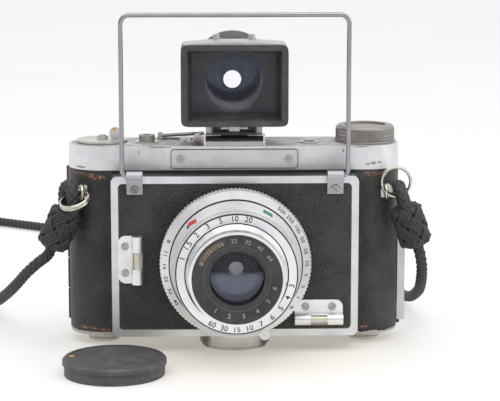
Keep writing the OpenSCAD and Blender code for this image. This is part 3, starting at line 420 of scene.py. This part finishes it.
def inside_disc(p):
    """The part of the disc that closes the finder's tube is black."""
    px, py, pz = parts(p)
    return ((px * px + (pz - TUBE_Z) ** 2.0).sqrt() < TUBE_HOLE) * (py < TUBE_END_Y)


def foot_sides(p, col):
    """Painted shade: the socket's feet darker towards their left and right sides, away from the middle."""
    px, _, _ = parts(p)
    side = ramp(px.abs() + (noise(p, 0.3, 3) - 0.5) * 2, 10.5, 13.5)
    return mix(side * 0.85, col, (0.10, 0.095, 0.085))


def disc_rings(p, col):
    """Turned rings on the finder's round back disc."""
    px, _, pz = parts(p)
    r = (px * px + (pz - DISC_Z) ** 2.0).sqrt()
    return mix(((r / 1.3).fract() > 0.7) * 0.45, col, (0.2, 0.2, 0.215))


def cap_marks(p, col):
    """Grey scratches on the cap, and one chip of orange at its rim."""
    px, py, pz = parts(p)
    d = ((px - CAP_CHIP_X) ** 2.0 + (py - CAP_CHIP_Y) ** 2.0).sqrt()
    chip = ramp(d + (noise(p, 1.2, 3) - 0.5) * 2, 1.4, 1.0)
    scratch = ramp(noise(vec(px * 0.35 - py * 0.25, py * 1.6 + px * 1.4, pz), 0.8, 4, 0.8), 0.66, 0.7)
    col = mix(scratch * ramp(noise(p, 0.12, 2), 0.45, 0.6) * 0.55, col, (0.24, 0.24, 0.24))
    return mix(chip, col, (0.75, 0.40, 0.12))


# Middle, half width and half height of each flaked spot, as blob() takes them
FLAKES = [
    (-72.5, 80.7, 4.0, 0.5), (-63.2, 79.2, 4.6, 1.1), (-66.5, 80.3, 3.0, 0.5), (-68.0, 8.3, 4.5, 0.8),
    (-60.0, 7.8, 2.8, 0.6), (63.0, 80.5, 4.6, 0.9), (69.5, 79.4, 1.6, 0.5), (60.0, 8.4, 2.5, 0.5)]
DOOR_FLAKES = [(-66, 80.0, 4, 0.8), (50, 7.6, 6, 0.6)]
PANEL_TRIM = (52.5, 44.4, 33.4)

# One look for each finish; WEAR says which node wears which
LOOK = {
    "leather": material("black_leather", leather(FLAKES, base=(0.028, 0.0265, 0.0255))),
    "panel": material("panel_leather", leather(trim=PANEL_TRIM)),
    "door_leather": material("door_leather", leather(DOOR_FLAKES)),
    "satin": material("satin_chrome", metal((0.62, 0.63, 0.64), 0.34)),
    "plate": material("top_plate_chrome", metal((0.78, 0.79, 0.80), 0.40, 0.75, 0.9, plate_marks)),
    "border": material("border_chrome", metal((0.76, 0.775, 0.785), 0.36, 0.6, 0.7)),
    "name": material("nameplate_chrome", metal((0.66, 0.67, 0.68), 0.34, 0.4, 0.0, outline)),
    "lip": material("worn_bottom", metal((0.45, 0.44, 0.42), 0.34, 0.9, 1.0, paint=lip)),
    "clip": material("clip_alloy", metal((0.53, 0.525, 0.55), 0.5, 0.3, 0.2, body=0.8)),
    "level": material("level_alloy", metal((0.88, 0.885, 0.89), 0.34, 0.4, 0.3)),
    # Screws: the near-black edge tone paints shade into the slots and round the heads.
    "screw": material("bright_screws", metal((0.409, 0.384, 0.36), 0.2, 0.6, 2.2,
                                             edge_wear_and_shade_tone=(0.05, 0.033, 0.025))),
    "bright": material("bright_chrome", metal((0.70, 0.69, 0.68), 0.2, 0.4, 0.25)),
    "socket": material("socket_chrome", metal((0.63, 0.62, 0.605), 0.14, 0.5, 0.25, foot_sides)),
    # The wire's base is far darker than the other chrome: a painted reflection of the dark room it mirrors.
    "wire": material("wire_chrome", metal((0.37, 0.345, 0.37), 0.12, 0.4, 0.0)),
    "nickel": material("old_nickel", metal((0.68, 0.65, 0.57), 0.2, 0.6, 0.3)),
    "steel": material("plain_steel", metal((0.48, 0.46, 0.44), 0.3, 0.9, 0.9, edge_wear_and_shade_tone=(0.2, 0.12, 0.08))),
    "shoe": material("shoe_nickel", metal((0.70, 0.66, 0.64), 0.26, 0.6, 0.6)),
    "knob": material("foot_knob_alloy", metal((0.64, 0.61, 0.555), 0.3, 0.6, 0.3)),
    "knurl": material("knurled_alloy", metal((0.375, 0.35, 0.325), 0.4, 0.6, 0.5, body=0.8)),
    "dull": material("worn_nickel", metal((0.66, 0.65, 0.62), 0.34, 0.9, 0.9, crank_marks)),
    "shutter": material("shutter_ring_chrome", metal((0.647, 0.631, 0.631), 0.5, 0.5, 0.3, ring_lines,
                                                     body=0.6)),
    "scale": material("scale_ring_chrome", metal((0.86, 0.86, 0.86), 0.46, 0.3, 0.0, scale_lines,
                                                 body=0.45)),
    "barrel": material("lens_barrel_chrome", metal((0.82, 0.825, 0.835), 0.24, 0.2, 0.0, barrel_lines,
                                                   paint=bore)),
    "brass": material("gear_brass", metal((0.6, 0.42, 0.2), 0.3, 0.3, 0.2)),
    "body": material("body_black", black((0.02, 0.02, 0.021), 0.5, 0.5, (0.3, 0.22, 0.14))),
    "inner": material("inner_black", black((0.008, 0.008, 0.008), 0.8, 0)),
    "anodised": material("black_anodised", black((0.035, 0.032, 0.03), 0.38, 0.3, (0.16, 0.15, 0.14), 0.1)),
    "ring": material("name_ring_black", black((0.036, 0.033, 0.030), 0.36, 0.2, (0.16, 0.15, 0.14), 0.1,
                                              marks=warm_arc)),
    "eyecup": material("eyepiece_grey", metal((0.70, 0.70, 0.725), 0.3, 0.3, 0.5, disc_rings,
                                              edge_wear_and_shade_tone=(0.5, 0.5, 0.5), paint=inside_disc)),
    "crackle": material("crackle_black", black((0.052, 0.050, 0.049), 0.45, 0.6, (0.3, 0.3, 0.3),
                                               0.6, 2.2)),
    "cover": material("cover_alloy", metal((0.56, 0.56, 0.53), 0.45, 0.8, 0.4, body=0.8)),
    "inlay": material("grey_inlay", black((0.37, 0.365, 0.355), 0.6, 0.2, (0.3, 0.3, 0.29), 0.8, 2.6)),
    "leaf": material("olive_leaf", black((0.09, 0.08, 0.045), 0.35, 0.4, (0.3, 0.27, 0.2))),
    "cap": material("cap_black", black((0.069, 0.069, 0.071), 0.5, 0.5, (0.24, 0.24, 0.25), 0.8, 3.4,
                                       cap_marks)),
    "hinge": material("hinge_brown", black((0.05, 0.035, 0.022), 0.4, 0.9, (0.35, 0.22, 0.1))),
    "spool": material("spool_black", black((0.03, 0.03, 0.03), 0.4, 0.2)),
    "vial": material("stained_vial", metal((0.76, 0.69, 0.58), 0.2, 1.0, 0.0, body=0.3)),
    "amber": material("counter_window", metal((0.35, 0.27, 0.18), 0.08, 0.6, 0.0)),
    # Painted reflection on the lens: more mirror below a line just above the axis.
    "lens": material("coated_lens", coated_glass(0.017, 0.1, AXIS_Z + 0.7)),
    "finder": material("coated_finder_glass", coated_glass(0.02, 0.12)),
    "dial": material("dial_white", metal((0.7, 0.68, 0.62), 0.4, 0.3, 0.2, body=0.3)),
    "leaf_dark": material("blued_leaves", metal((0.05, 0.05, 0.055), 0.35, 0.2, 0.0)),
    "leaf_pale": material("polished_leaves", metal((0.82, 0.81, 0.80), 0.35, 0.3, 0.0, body=0.3)),
}

WEAR = {
    "body_shell": "body", "light_cone": "inner", "top_plate": "plate", "top_inlay": "inlay",
    "bottom_plate": "lip", "front_box": "body", "panel_border": "border", "panel_leather": "panel",
    "body_leather": "leather", "nameplate": "name", "front_screws": "screw", "frame_clips": "clip",
    "level_bases": "level", "level_vials": "vial", "accessory_shoe": "shoe", "sight_bracket": "satin",
    "flash_socket": "steel", "top_bezels": "bright", "counter_glass": "amber", "strap_lugs": "nickel",
    "strap_rings": "nickel", "tripod_socket": "socket", "shutter_housing": "anodised",
    "mount_nut": "anodised", "lens_barrel": "barrel", "name_ring": "ring", "lens_glass": "lens",
    "rear_cell": "anodised", "iris_blades": "leaf_dark", "shutter_blades": "leaf_pale",
    "hinge_pin": "hinge", "wire_frame": "wire", "peep_sight": "leaf", "finder_hood": "crackle",
    "hood_cover": "cover", "finder_glass": "finder", "finder_tube": "anodised", "eyepiece": "eyecup",
    "finder_foot": "anodised", "foot_springs": "steel", "wind_knob": "knurl", "wind_shaft": "steel",
    "takeup_spool": "spool", "supply_crank": "dull", "supply_spool": "spool", "idler_gear": "brass",
    "counter_dial": "dial", "release_button": "knurl", "speed_ring": "shutter", "scale_ring": "scale",
    "back_door": "body", "door_leather": "door_leather", "pressure_plate": "inner",
    "pressure_springs": "steel", "latch_bar": "satin", "spool_knob_left": "knob",
    "spool_knob_right": "knob", "lens_cap": "cap", "strap": "body", "strap_knots": "body",
}
SHARP = math.radians(32)
COPLANAR = math.radians(0.6)

# Width of each node's rounded edges, in millimetres
ROUND = {
    "body_shell": 0.35, "top_plate": 0.4, "bottom_plate": 0.25, "front_box": 0.5, "panel_border": 0.3,
    "panel_leather": 0.1, "body_leather": 0.15, "nameplate": 0.15, "front_screws": 0.12, "frame_clips": 0.2,
    "level_bases": 0.25, "accessory_shoe": 0.25, "sight_bracket": 0.2, "flash_socket": 0.2,
    "top_bezels": 0.15, "tripod_socket": 0.3, "shutter_housing": 0.25, "lens_barrel": 0.15,
    "name_ring": 0.1, "peep_sight": 0.1, "finder_hood": 0.4, "hood_cover": 0.25, "finder_tube": 0.3,
    "eyepiece": 0.3, "finder_foot": 0.3, "foot_springs": 0.2, "wind_knob": 0.08, "supply_crank": 0.15,
    "release_button": 0.2, "speed_ring": 0.08, "scale_ring": 0.15, "back_door": 0.4, "door_leather": 0.2,
    "latch_bar": 0.4, "spool_knob_left": 0.1, "spool_knob_right": 0.1, "lens_cap": 0.35,
    "pressure_plate": 0.3, "takeup_spool": 0.2, "supply_spool": 0.2, "wind_shaft": 0.1, "light_cone": 0.2,
}


def dress(name):
    """Gives a CAD node its material, smooth faces and small round edges."""
    o = NODES[name]
    me = o.data
    me.materials.clear()
    me.materials.append(LOOK[WEAR[name]])
    me.polygons.foreach_set("use_smooth", [True] * len(me.polygons))
    me.set_sharp_from_angle(angle=SHARP)
    if name in ROUND:
        flat = o.modifiers.new("flat", "DECIMATE")
        flat.decimate_type = "DISSOLVE"
        flat.angle_limit = COPLANAR
        b = o.modifiers.new("round", "BEVEL")
        b.width = ROUND[name] * MM
        b.segments = 2
        b.limit_method = "ANGLE"
        b.angle_limit = SHARP
        b.harden_normals = True


for name in NODES:
    dress(name)


# Mesh helpers
def at(x, y, z):
    """A shift in millimetres."""
    return Matrix.Translation(Vector((x, y, z)) * MM)


def turn(deg, axis):
    """A turn in degrees about an axis."""
    return Matrix.Rotation(math.radians(deg), 4, axis)


def mesh_piece(name, part, mat, body):
    """part is (verts, faces, lay); lay is each point's height in the braid, from 0 in the gaps to 1."""
    verts, faces, lay = part
    me = bpy.data.meshes.new(name)
    me.from_pydata([tuple(v) for v in verts], [], faces)
    me.attributes.new("lay", "FLOAT", "POINT").data.foreach_set("value", lay)
    me.polygons.foreach_set("use_smooth", [True] * len(me.polygons))
    o = bpy.data.objects.new(name, me)
    bpy.context.scene.collection.objects.link(o)
    me.materials.append(mat)
    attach(o, body)
    return o


def frames(path, closed=False):
    """Tangents and side directions carried along a path without twist."""
    n = len(path)
    tans = []
    for i in range(n):
        a = path[(i - 1) % n] if closed else path[max(i - 1, 0)]
        b = path[(i + 1) % n] if closed else path[min(i + 1, n - 1)]
        tans.append((b - a).normalized())
    side = Vector((0, 1, 0)) if abs(tans[0].y) < 0.9 else Vector((1, 0, 0))
    out = []
    for t in tans:
        side = (side - t * side.dot(t)).normalized()
        out.append((t, side, t.cross(side)))
    return out


def tube(path, radius, sides, closed=False, relief=None):
    """A tube along a path. relief(u, turn) gives the radius at length u and turn round the tube, and
    how high that lies in the braid."""
    verts, faces, lay = [], [], []
    u = 0.0
    fr = frames(path, closed)
    for i, p in enumerate(path):
        if i:
            u += (p - path[i - 1]).length
        _, a, b = fr[i]
        for k in range(sides):
            w = 2 * math.pi * k / sides
            r, share = relief(u, k / sides) if relief else (radius, 0.8)
            verts.append(p + (a * math.cos(w) + b * math.sin(w)) * r)
            lay.append(share)
    n = len(path)
    for i in range(n if closed else n - 1):
        j = (i + 1) % n
        for k in range(sides):
            m = (k + 1) % sides
            faces.append((i * sides + k, i * sides + m, j * sides + m, j * sides + k))
    if not closed:
        faces.append(tuple(range(sides))[::-1])
        faces.append(tuple((n - 1) * sides + k for k in range(sides)))
    return verts, faces, lay


def merge(pieces):
    """One part from several."""
    verts, faces, lay = [], [], []
    for v, f, h in pieces:
        base = len(verts)
        verts += v
        faces += [tuple(i + base for i in q) for q in f]
        lay += h
    return verts, faces, lay


def moved(part, matrix):
    """The part with its points carried by the matrix."""
    return [matrix @ v for v in part[0]], part[1], part[2]


def smooth_path(pts, steps):
    """A smooth curve through the points, with so many steps from each to the next."""
    out = []
    m = len(pts) - 1
    for i in range(m):
        a, b, c, d = pts[max(i - 1, 0)], pts[i], pts[i + 1], pts[min(i + 2, m)]
        for k in range(steps):
            t = k / steps
            out.append(0.5 * (2 * b + (c - a) * t + (2 * a - 5 * b + 4 * c - d) * t * t
                              + (3 * b - a - 3 * c + d) * t ** 3))
    out.append(pts[m])
    return out


def even(path, step):
    """The same path with points at equal steps."""
    out, left = [path[0]], step
    for a, b in zip(path, path[1:]):
        d = (b - a).length
        along = left
        while along <= d:
            out.append(a.lerp(b, along / d))
            along += step
        left = along - d
    if (out[-1] - path[-1]).length > step * 0.3:
        out.append(path[-1])
    else:
        out[-1] = path[-1]
    return out


def braid(radius, carriers, pitch, depth):
    """Round braid: two families of strands, each over and under the other by turns."""
    def relief(u, v):
        a = carriers * v + u / pitch
        b = carriers * v - u / pitch
        over = (math.floor(a) + math.floor(b)) % 2
        s, w = (a, b) if over else (b, a)
        h = math.sin(math.pi * (s % 1.0)) ** 0.6 * (0.4 + 0.6 * math.sin(math.pi * (w % 1.0)))
        return radius - depth * (1 - h), h
    return relief


# The strap
def cord_material():
    """Black braid: grey yarn, near black in the gaps as painted shade, with pale fuzz."""
    p = place()
    lay = E(add("ShaderNodeAttribute", attribute_name="lay").outputs["Fac"])
    yarn = noise(p, 3.0, 3, 0.7)
    fuzz = noise(p, 14.0, 2)
    col = mix(ramp(yarn, 0.35, 0.75), (0.036, 0.035, 0.034), (0.075, 0.072, 0.068))
    # Painted shade: near black where the braid lies low, in the gaps.
    col = mix(ramp(lay, 0.55, 0.1), col, (0.004, 0.004, 0.004))
    col = mix(ramp(fuzz, 0.66, 0.78) * 0.4, col, (0.17, 0.165, 0.16))
    return {"Base Color": col, "Roughness": 0.48 + fuzz * 0.2, "Normal": bump(fuzz + yarn, 0.5, 0.12)}


CORD = material("braided_cord", cord_material)
CORD_R = 2.7 * MM
CARRIERS = 5
CORD_SIDES = 28
CORD_BRAID = braid(CORD_R, CARRIERS, 3.0 * MM, 0.75 * MM)
ROUTE = [Vector(p) * MM for p in (
    (-84.1, -5, 47.2), (-85.9, -5.2, 43.3), (-90.5, -6.3, 39.8), (-96, -3.5, 34.5), (-101, 4, 28),
    (-106, 16, 21.5), (-110, 28, 16.5), (-114, 42, 11.5), (-118, 57, 7), (-122, 74, 4), (-127, 95, 2.9),
    (-136, 130, 2.9), (-147, 170, 2.9), (-158, 210, 2.9), (-167, 245, 2.9), (-172, 272, 2.9),
    (-171, 291, 2.9), (-162, 303, 2.9), (-149, 303.5, 2.9), (-139, 297.5, 2.9), (-109, 277, 2.9),
    (-80, 257, 2.9), (-45, 232, 2.9), (-12, 207, 2.9), (20, 180, 2.9), (48, 152, 2.9), (70, 124, 2.9),
    (83, 98, 3.4), (87, 77, 5), (88, 60, 8), (88.5, 45, 12), (88.5, 30, 17), (88.4, 18, 21.5),
    (87.8, 8, 26.5), (87.2, 0, 32), (86.6, -4.5, 37.5), (85.5, -6, 43.3), (84.1, -6, 47.5))]
fine_route = even(smooth_path(ROUTE, 24), 0.5 * MM)
total = sum((b - a).length for a, b in zip(fine_route, fine_route[1:]))
strap = mesh_piece("neck_cord", tube(fine_route, CORD_R, CORD_SIDES, relief=CORD_BRAID),
                   CORD, "camera_body")
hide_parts("strap")


def turk(leads, bights, n, profile, half, strand, dip, rows):
    """Parallel strands of a woven barrel knot, axis along Z: closed tubes of n points that pass over and
    under by turns. half is half the knot's length, dip how far a strand rises and sinks, and rows the
    place of each strand beside the others."""
    base, normals = [], []
    for i in range(n):
        t = 2 * math.pi * i / n
        tau, th = bights * t, leads * t
        z = half * math.asin(0.93 * math.cos(tau)) / math.asin(0.93)
        f = math.cos(leads * tau) * max(-1.0, min(1.0, 2.4 * math.sin(tau)))
        r = profile(z) - strand - dip + dip * f
        base.append(Vector((r * math.cos(th), r * math.sin(th), z)))
        slope = (profile(z + 0.1 * MM) - profile(z - 0.1 * MM)) / (0.2 * MM)
        normals.append(Vector((math.cos(th), math.sin(th), -slope)).normalized())
    out = []
    for k in rows:
        path = []
        for i in range(n):
            t = (base[(i + 1) % n] - base[i - 1]).normalized()
            path.append(base[i] + normals[i].cross(t) * (k * strand * 1.9))
        out.append(tube(path, strand, 8, closed=True))
    return out


KNOT_R = 7.6 * MM
BALL_R_SQUARED = 116.0 * MM * MM
END_R_SQUARED = 16 * MM * MM


def barrel_profile(z):
    """The knot's radius at height z: a cylinder whose ends follow a ball, down to a small flat."""
    return min(KNOT_R, math.sqrt(max(BALL_R_SQUARED - z * z, END_R_SQUARED)))


def lathe(profile, sides):
    """A closed solid of revolution from (radius, height) pairs."""
    verts, faces = [], []
    for r, h in profile:
        for k in range(sides):
            w = 2 * math.pi * k / sides
            verts.append(Vector((r * math.cos(w), r * math.sin(w), h)))
    m = len(profile)
    for i in range(m - 1):
        for k in range(sides):
            j = (k + 1) % sides
            faces.append((i * sides + k, i * sides + j, (i + 1) * sides + j, (i + 1) * sides + k))
    faces.append(tuple(range(sides))[::-1])
    faces.append(tuple((m - 1) * sides + k for k in range(sides)))
    # Low in the braid, so the cord's painted gap shade makes the core near black.
    return verts, faces, [0.1] * len(verts)


def knot_parts():
    """The knot's core, which lies low in the braid and so takes the gaps' painted shade, and the four
    strands woven round it.
    """
    heights = [i * MM for i in range(-10, 11)]
    core = lathe([(barrel_profile(z) - 1.3 * MM, z) for z in heights], 24)
    rows = (-1.5, -0.5, 0.5, 1.5)
    return [core] + turk(4, 5, 520, barrel_profile, 8.9 * MM, 0.66 * MM, 0.6 * MM, rows)


EYE_R = 3.15 * MM
EYE_BEND = 4.3 * MM
EYE_BRAID = braid(EYE_R, CARRIERS, 2.6 * MM, 0.8 * MM)
LEG_STEPS = 8
BEND_STEPS = 24


def eye_parts(leg):
    """The braided eye over the knot; the bend's middle is the origin."""
    path = [Vector((0, EYE_BEND, -leg * MM + i * leg * MM / LEG_STEPS)) for i in range(LEG_STEPS)]
    for i in range(BEND_STEPS + 1):
        w = math.pi * i / BEND_STEPS
        path.append(Vector((0, EYE_BEND * math.cos(w), EYE_BEND * math.sin(w))))
    path += [Vector((0, -EYE_BEND, -(i + 1) * leg * MM / LEG_STEPS)) for i in range(LEG_STEPS)]
    return [tube(even(path, 0.45 * MM), EYE_R, CORD_SIDES, relief=EYE_BRAID)]


RIGHT_KNOT = at(81, -6, 56.6) @ turn(-18.8, "Y")
RIGHT_EYE = RIGHT_KNOT @ at(0.5, 0.7, 14.6)
LEFT_KNOT = at(-80.1, -5, 55.9) @ turn(24.7, "Y")
LEFT_EYE = at(-75.9, -4.8, 71) @ turn(30, "Z")
knots = [moved(p, RIGHT_KNOT) for p in knot_parts()]
knots += [moved(p, RIGHT_EYE) for p in eye_parts(8)]
knots += [moved(p, LEFT_KNOT) for p in knot_parts()]
knots += [moved(p, LEFT_EYE) for p in eye_parts(9)]
knot_piece = mesh_piece("strap_knot_weave", merge(knots), CORD, "camera_body")
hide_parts("strap_knots")
fine_route[::4] + [fine_route[-1]]


# Figures on the rings
def ink(tone):
    """Filled engraving, a little worn."""
    def build():
        worn = noise(place(), 2.5, 3, 0.7)
        faded = tuple(c * 0.5 + 0.06 for c in tone)
        return {"Base Color": mix(ramp(worn, 0.55, 0.7) * 0.5, tone, faded),
                "Roughness": 0.5 + worn * 0.1}
    return build


BLACK_INK = material("engraved_black", ink((0.03, 0.03, 0.03)))
PALE_INK = material("engraved_grey", ink((0.36, 0.34, 0.31)))


def joined(made, name, mat):
    """One object from several, with one material."""
    bpy.ops.object.select_all(action="DESELECT")
    for o in made:
        o.select_set(True)
    bpy.context.view_layer.objects.active = made[0]
    bpy.ops.object.join()
    o = bpy.context.object
    o.name = name
    o.data.materials.clear()
    o.data.materials.append(mat)
    return o


def around(start, step, words):
    """Pairs of an angle from straight up, in degrees, and the word that stands there."""
    return [(start + i * step, w) for i, w in enumerate(words.split())]


def figures(name, words, face, size, body, mat, inward=False):
    """Figures round the lens, made as text and turned to mesh. words is a list from around(); face is
    the one of the three faces below that they stand on; inward turns their feet outwards."""
    radius, y, lean = face
    made = []
    for angle, word in words:
        bpy.ops.object.select_all(action="DESELECT")
        bpy.ops.object.text_add()
        o = bpy.context.object
        o.data.body = word
        o.data.size = size * MM
        o.data.offset = 0.045 * MM
        o.data.align_x = "CENTER"
        o.data.align_y = "CENTER"
        o.data.extrude = 0.04 * MM
        o.data.resolution_u = 3
        bpy.ops.object.convert(target="MESH")
        o = bpy.context.object
        o.data.transform(at(0, y, AXIS_Z) @ turn(angle, "Y") @ at(0, 0, radius) @ turn(90 - lean, "X")
                         @ turn(180 if inward else 0, "Z"))
        made.append(o)
    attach(joined(made, name, mat), body)


# Radius, place along the axis, and slope in degrees from square to the axis
SPEED_FACE = (31.9, ROOT_Y + 2.2, 41.8)
SCALE_FACE = (24.8, DRUM_Y - 0.92, 0.0)
NAME_FACE = (16.8, NOSE_Y + 1.12, -21.8)

figures("shutter_speeds", around(40, 9.8, "500 250 100 50 25 10 5 2 1 B"), SPEED_FACE, size=2.9,
        body="shutter_ring", mat=BLACK_INK)
figures("aperture_figures", around(-70, -10.5, "8 11 16 22 32 45"), SPEED_FACE, size=3.0,
        body="shutter_ring", mat=BLACK_INK, inward=True)
figures("distance_metres", around(-73, 14.2, "1 1.5 2 3 5 10 20"), SCALE_FACE, size=3.5,
        body="camera_body", mat=BLACK_INK)
figures("distance_feet", around(206, -13, "60 30 15 10 7 6 5 4 3"), SCALE_FACE, size=3.5,
        body="camera_body", mat=BLACK_INK, inward=True)
figures("ring_figures", around(-66, 20.5, "8 11 16 22 32 45 64"), NAME_FACE, size=2.9,
        body="camera_body", mat=PALE_INK)
figures("ring_figures_low", around(214, -22, "1 2 3 4 5 6"), NAME_FACE, size=2.9,
        body="camera_body", mat=PALE_INK, inward=True)


# Shutter leaves, closed, and iris leaves, open
BLADE_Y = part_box("shutter_blades")[0][1] / MM
IRIS_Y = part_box("iris_blades")[0][1] / MM
LEAF_THICK = 0.1
LEAF_DEPTH = 0.8
LEAF_START = 20


def leaf(radius, hole):
    """One thin leaf at the origin: a disc, or a ring where hole is its inner radius."""
    bpy.ops.object.select_all(action="DESELECT")
    bpy.ops.mesh.primitive_circle_add(vertices=48, radius=radius * MM, fill_type="NGON")
    o = bpy.context.object
    bpy.ops.object.mode_set(mode="EDIT")
    bpy.ops.mesh.select_all(action="SELECT")
    bpy.ops.mesh.inset(thickness=(radius - hole) * MM if hole else 0.5 * MM)
    if hole:
        bpy.ops.mesh.delete(type="FACE")
    bpy.ops.object.mode_set(mode="OBJECT")
    wall = o.modifiers.new("wall", "SOLIDIFY")
    wall.thickness = LEAF_THICK * MM
    wall.offset = 1
    bpy.ops.object.modifier_apply(modifier="wall")
    return o


def leaf_set(name, node, count, radius, hole, offset, y, mat):
    """Copies of one leaf set round the axis, each a little behind the one before. offset is how far a
    leaf's middle lies from the axis."""
    made = [leaf(radius, hole)]
    while len(made) < count:
        o = made[0].copy()
        o.data = o.data.copy()
        bpy.context.scene.collection.objects.link(o)
        made.append(o)
    for i, o in enumerate(made):
        o.data.transform(at(0, y + i * LEAF_DEPTH / count, AXIS_Z) @ turn(i * 360 / count + LEAF_START, "Y")
                         @ at(0, 0, offset) @ turn(90, "X"))
    o = joined(made, name, mat)
    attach(o, "camera_body")
    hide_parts(node)


leaf_set("shutter_leaves", "shutter_blades", 5, 8.6, 0, 7.0, BLADE_Y + LEAF_THICK, LOOK["leaf_pale"])
leaf_set("iris_leaves", "iris_blades", 9, 18.6, 3.75, 0.4, IRIS_Y + LEAF_THICK, LOOK["leaf_dark"])


# A dark ring as painted shade, for the dark seen through the finder.
DARK_RING_Y, DARK_RING_Z = 49, 119.2
DARK_RING_R, DARK_RING_THICK = 6.95, 0.8
DARK_RING_HOLE, DARK_RING_HOLE_DOWN = 4.3, 0.9


def dark_eye_ring():
    """Black ring in the eyepiece's bore, which narrows the hole that the light comes through. It is painted
    shade: a dark piece, its hole set a little low, that stands in for the dark the finder shows round its
    bright middle.
    """
    bpy.ops.object.select_all(action="DESELECT")
    bpy.ops.mesh.primitive_cylinder_add(vertices=96, radius=DARK_RING_R * MM, depth=DARK_RING_THICK * MM)
    o = bpy.context.object
    bpy.ops.mesh.primitive_cylinder_add(vertices=96, radius=DARK_RING_HOLE * MM, depth=5 * DARK_RING_THICK * MM,
                                        location=(0, -DARK_RING_HOLE_DOWN * MM, 0))
    cutter = bpy.context.object
    hole = o.modifiers.new("hole", "BOOLEAN")
    hole.operation = "DIFFERENCE"
    hole.object = cutter
    bpy.context.view_layer.objects.active = o
    bpy.ops.object.modifier_apply(modifier="hole")
    bpy.data.objects.remove(cutter)
    o.name = "dark_eye_ring"
    o.data.transform(at(0, DARK_RING_Y, DARK_RING_Z) @ turn(90, "X"))
    o.data.materials.append(LOOK["inner"])
    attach(o, "optical_finder")


dark_eye_ring()


# Stage, light and camera
FLOOR_HALF = 9.0


def stage_floor():
    """Pale table that shows white to the camera and in chrome and glass, with a painted warm shadow: beige
    near the object, in its colour and in its glow.
    """
    def build():
        p = place()
        px, py, _ = parts(p)
        # Painted shadow: within about 120 mm of the object the colour and the glow turn warm beige.
        near = ramp((px * px + py * py).sqrt(), 120.0, 40.0)
        tone = mix(ramp(noise(p, 0.004, 2), 0.3, 0.7), (0.575, 0.58, 0.585), (0.59, 0.595, 0.60))
        ray = add("ShaderNodeLightPath")
        rays = ("Is Camera Ray", "Is Glossy Ray", "Is Transmission Ray")
        seen = any_of([E(ray.outputs[k]) for k in rays])
        glow = mix(seen, (0, 0, 0), mix(near, (0.985, 0.99, 1.0), (1.0, 0.95, 0.87)))
        return {"Base Color": mix(near, tone, (0.60, 0.575, 0.54)),
                "Roughness": 0.85 + noise(p, 0.5, 2) * 0.1, "Emission Color": glow}
    me = bpy.data.meshes.new("floor")
    s = FLOOR_HALF
    me.from_pydata([(-s, -s, 0), (s, -s, 0), (s, s, 0), (-s, s, 0)], [], [(0, 1, 2, 3)])
    o = bpy.data.objects.new("floor", me)
    bpy.context.scene.collection.objects.link(o)
    me.materials.append(material("pale_floor", build, Specular_IOR_Level=0.1, Emission_Strength=0.36))


def sky():
    """White all round and above, with the darker room behind the viewer that chrome and glass mirror."""
    w = bpy.data.worlds.new("white_room")
    bpy.context.scene.world = w
    w.use_nodes = True
    E.tree = w.node_tree
    x, y, z = parts(E(add("ShaderNodeTexCoord").outputs["Generated"]))
    front = ramp(y, -0.15, -0.75) * ramp(z, 0.85, 0.5)
    level = 1.0 - front * 0.5 - ramp(x.abs(), 0.5, 0.9) * ramp(z, 0.7, 0.3) * 0.25
    bg = w.node_tree.nodes["Background"]
    put(bg, 1, level)
    bg.inputs[0].default_value = (0.985, 0.99, 1.0, 1.0)


def lamp(name, pos, aim, size, power):
    """An area lamp at pos that shines at aim."""
    d = bpy.data.lights.new(name, "AREA")
    d.shape = "RECTANGLE"
    d.size, d.size_y = size
    d.energy = power
    o = bpy.data.objects.new(name, d)
    bpy.context.scene.collection.objects.link(o)
    o.location = Vector(pos)
    o.rotation_euler = (Vector(aim) - Vector(pos)).to_track_quat("-Z", "Y").to_euler()


CAMERA_AT = (-0.0169, -0.8632, 0.2181)
CAMERA_YAW, CAMERA_DIP = math.radians(1.6), math.radians(9.9)
FOCAL_LENGTH, SENSOR_WIDTH = 136.8, 36


def camera():
    """The view of the photo: a little to the side, and down on the object."""
    level = math.cos(CAMERA_DIP)
    look = Vector((math.sin(CAMERA_YAW) * level, math.cos(CAMERA_YAW) * level, -math.sin(CAMERA_DIP)))
    d = bpy.data.cameras.new("camera")
    d.sensor_width = SENSOR_WIDTH
    d.lens = FOCAL_LENGTH
    d.clip_start = 0.05
    d.clip_end = 50
    o = bpy.data.objects.new("camera", d)
    bpy.context.scene.collection.objects.link(o)
    o.location = CAMERA_AT
    o.rotation_euler = look.to_track_quat("-Z", "Y").to_euler()
    bpy.context.scene.camera = o


bpy.context.scene.view_settings.view_transform = "Standard"
stage_floor()
sky()
camera()
lamp("top_light", pos=(0.0, -0.6, 1.3), aim=(0, 0, 0.05), size=(1.7, 1.4), power=9.2)
lamp("side_light", pos=(1.1, -0.4, 0.6), aim=(0, 0, 0.07), size=(0.9, 0.9), power=3)
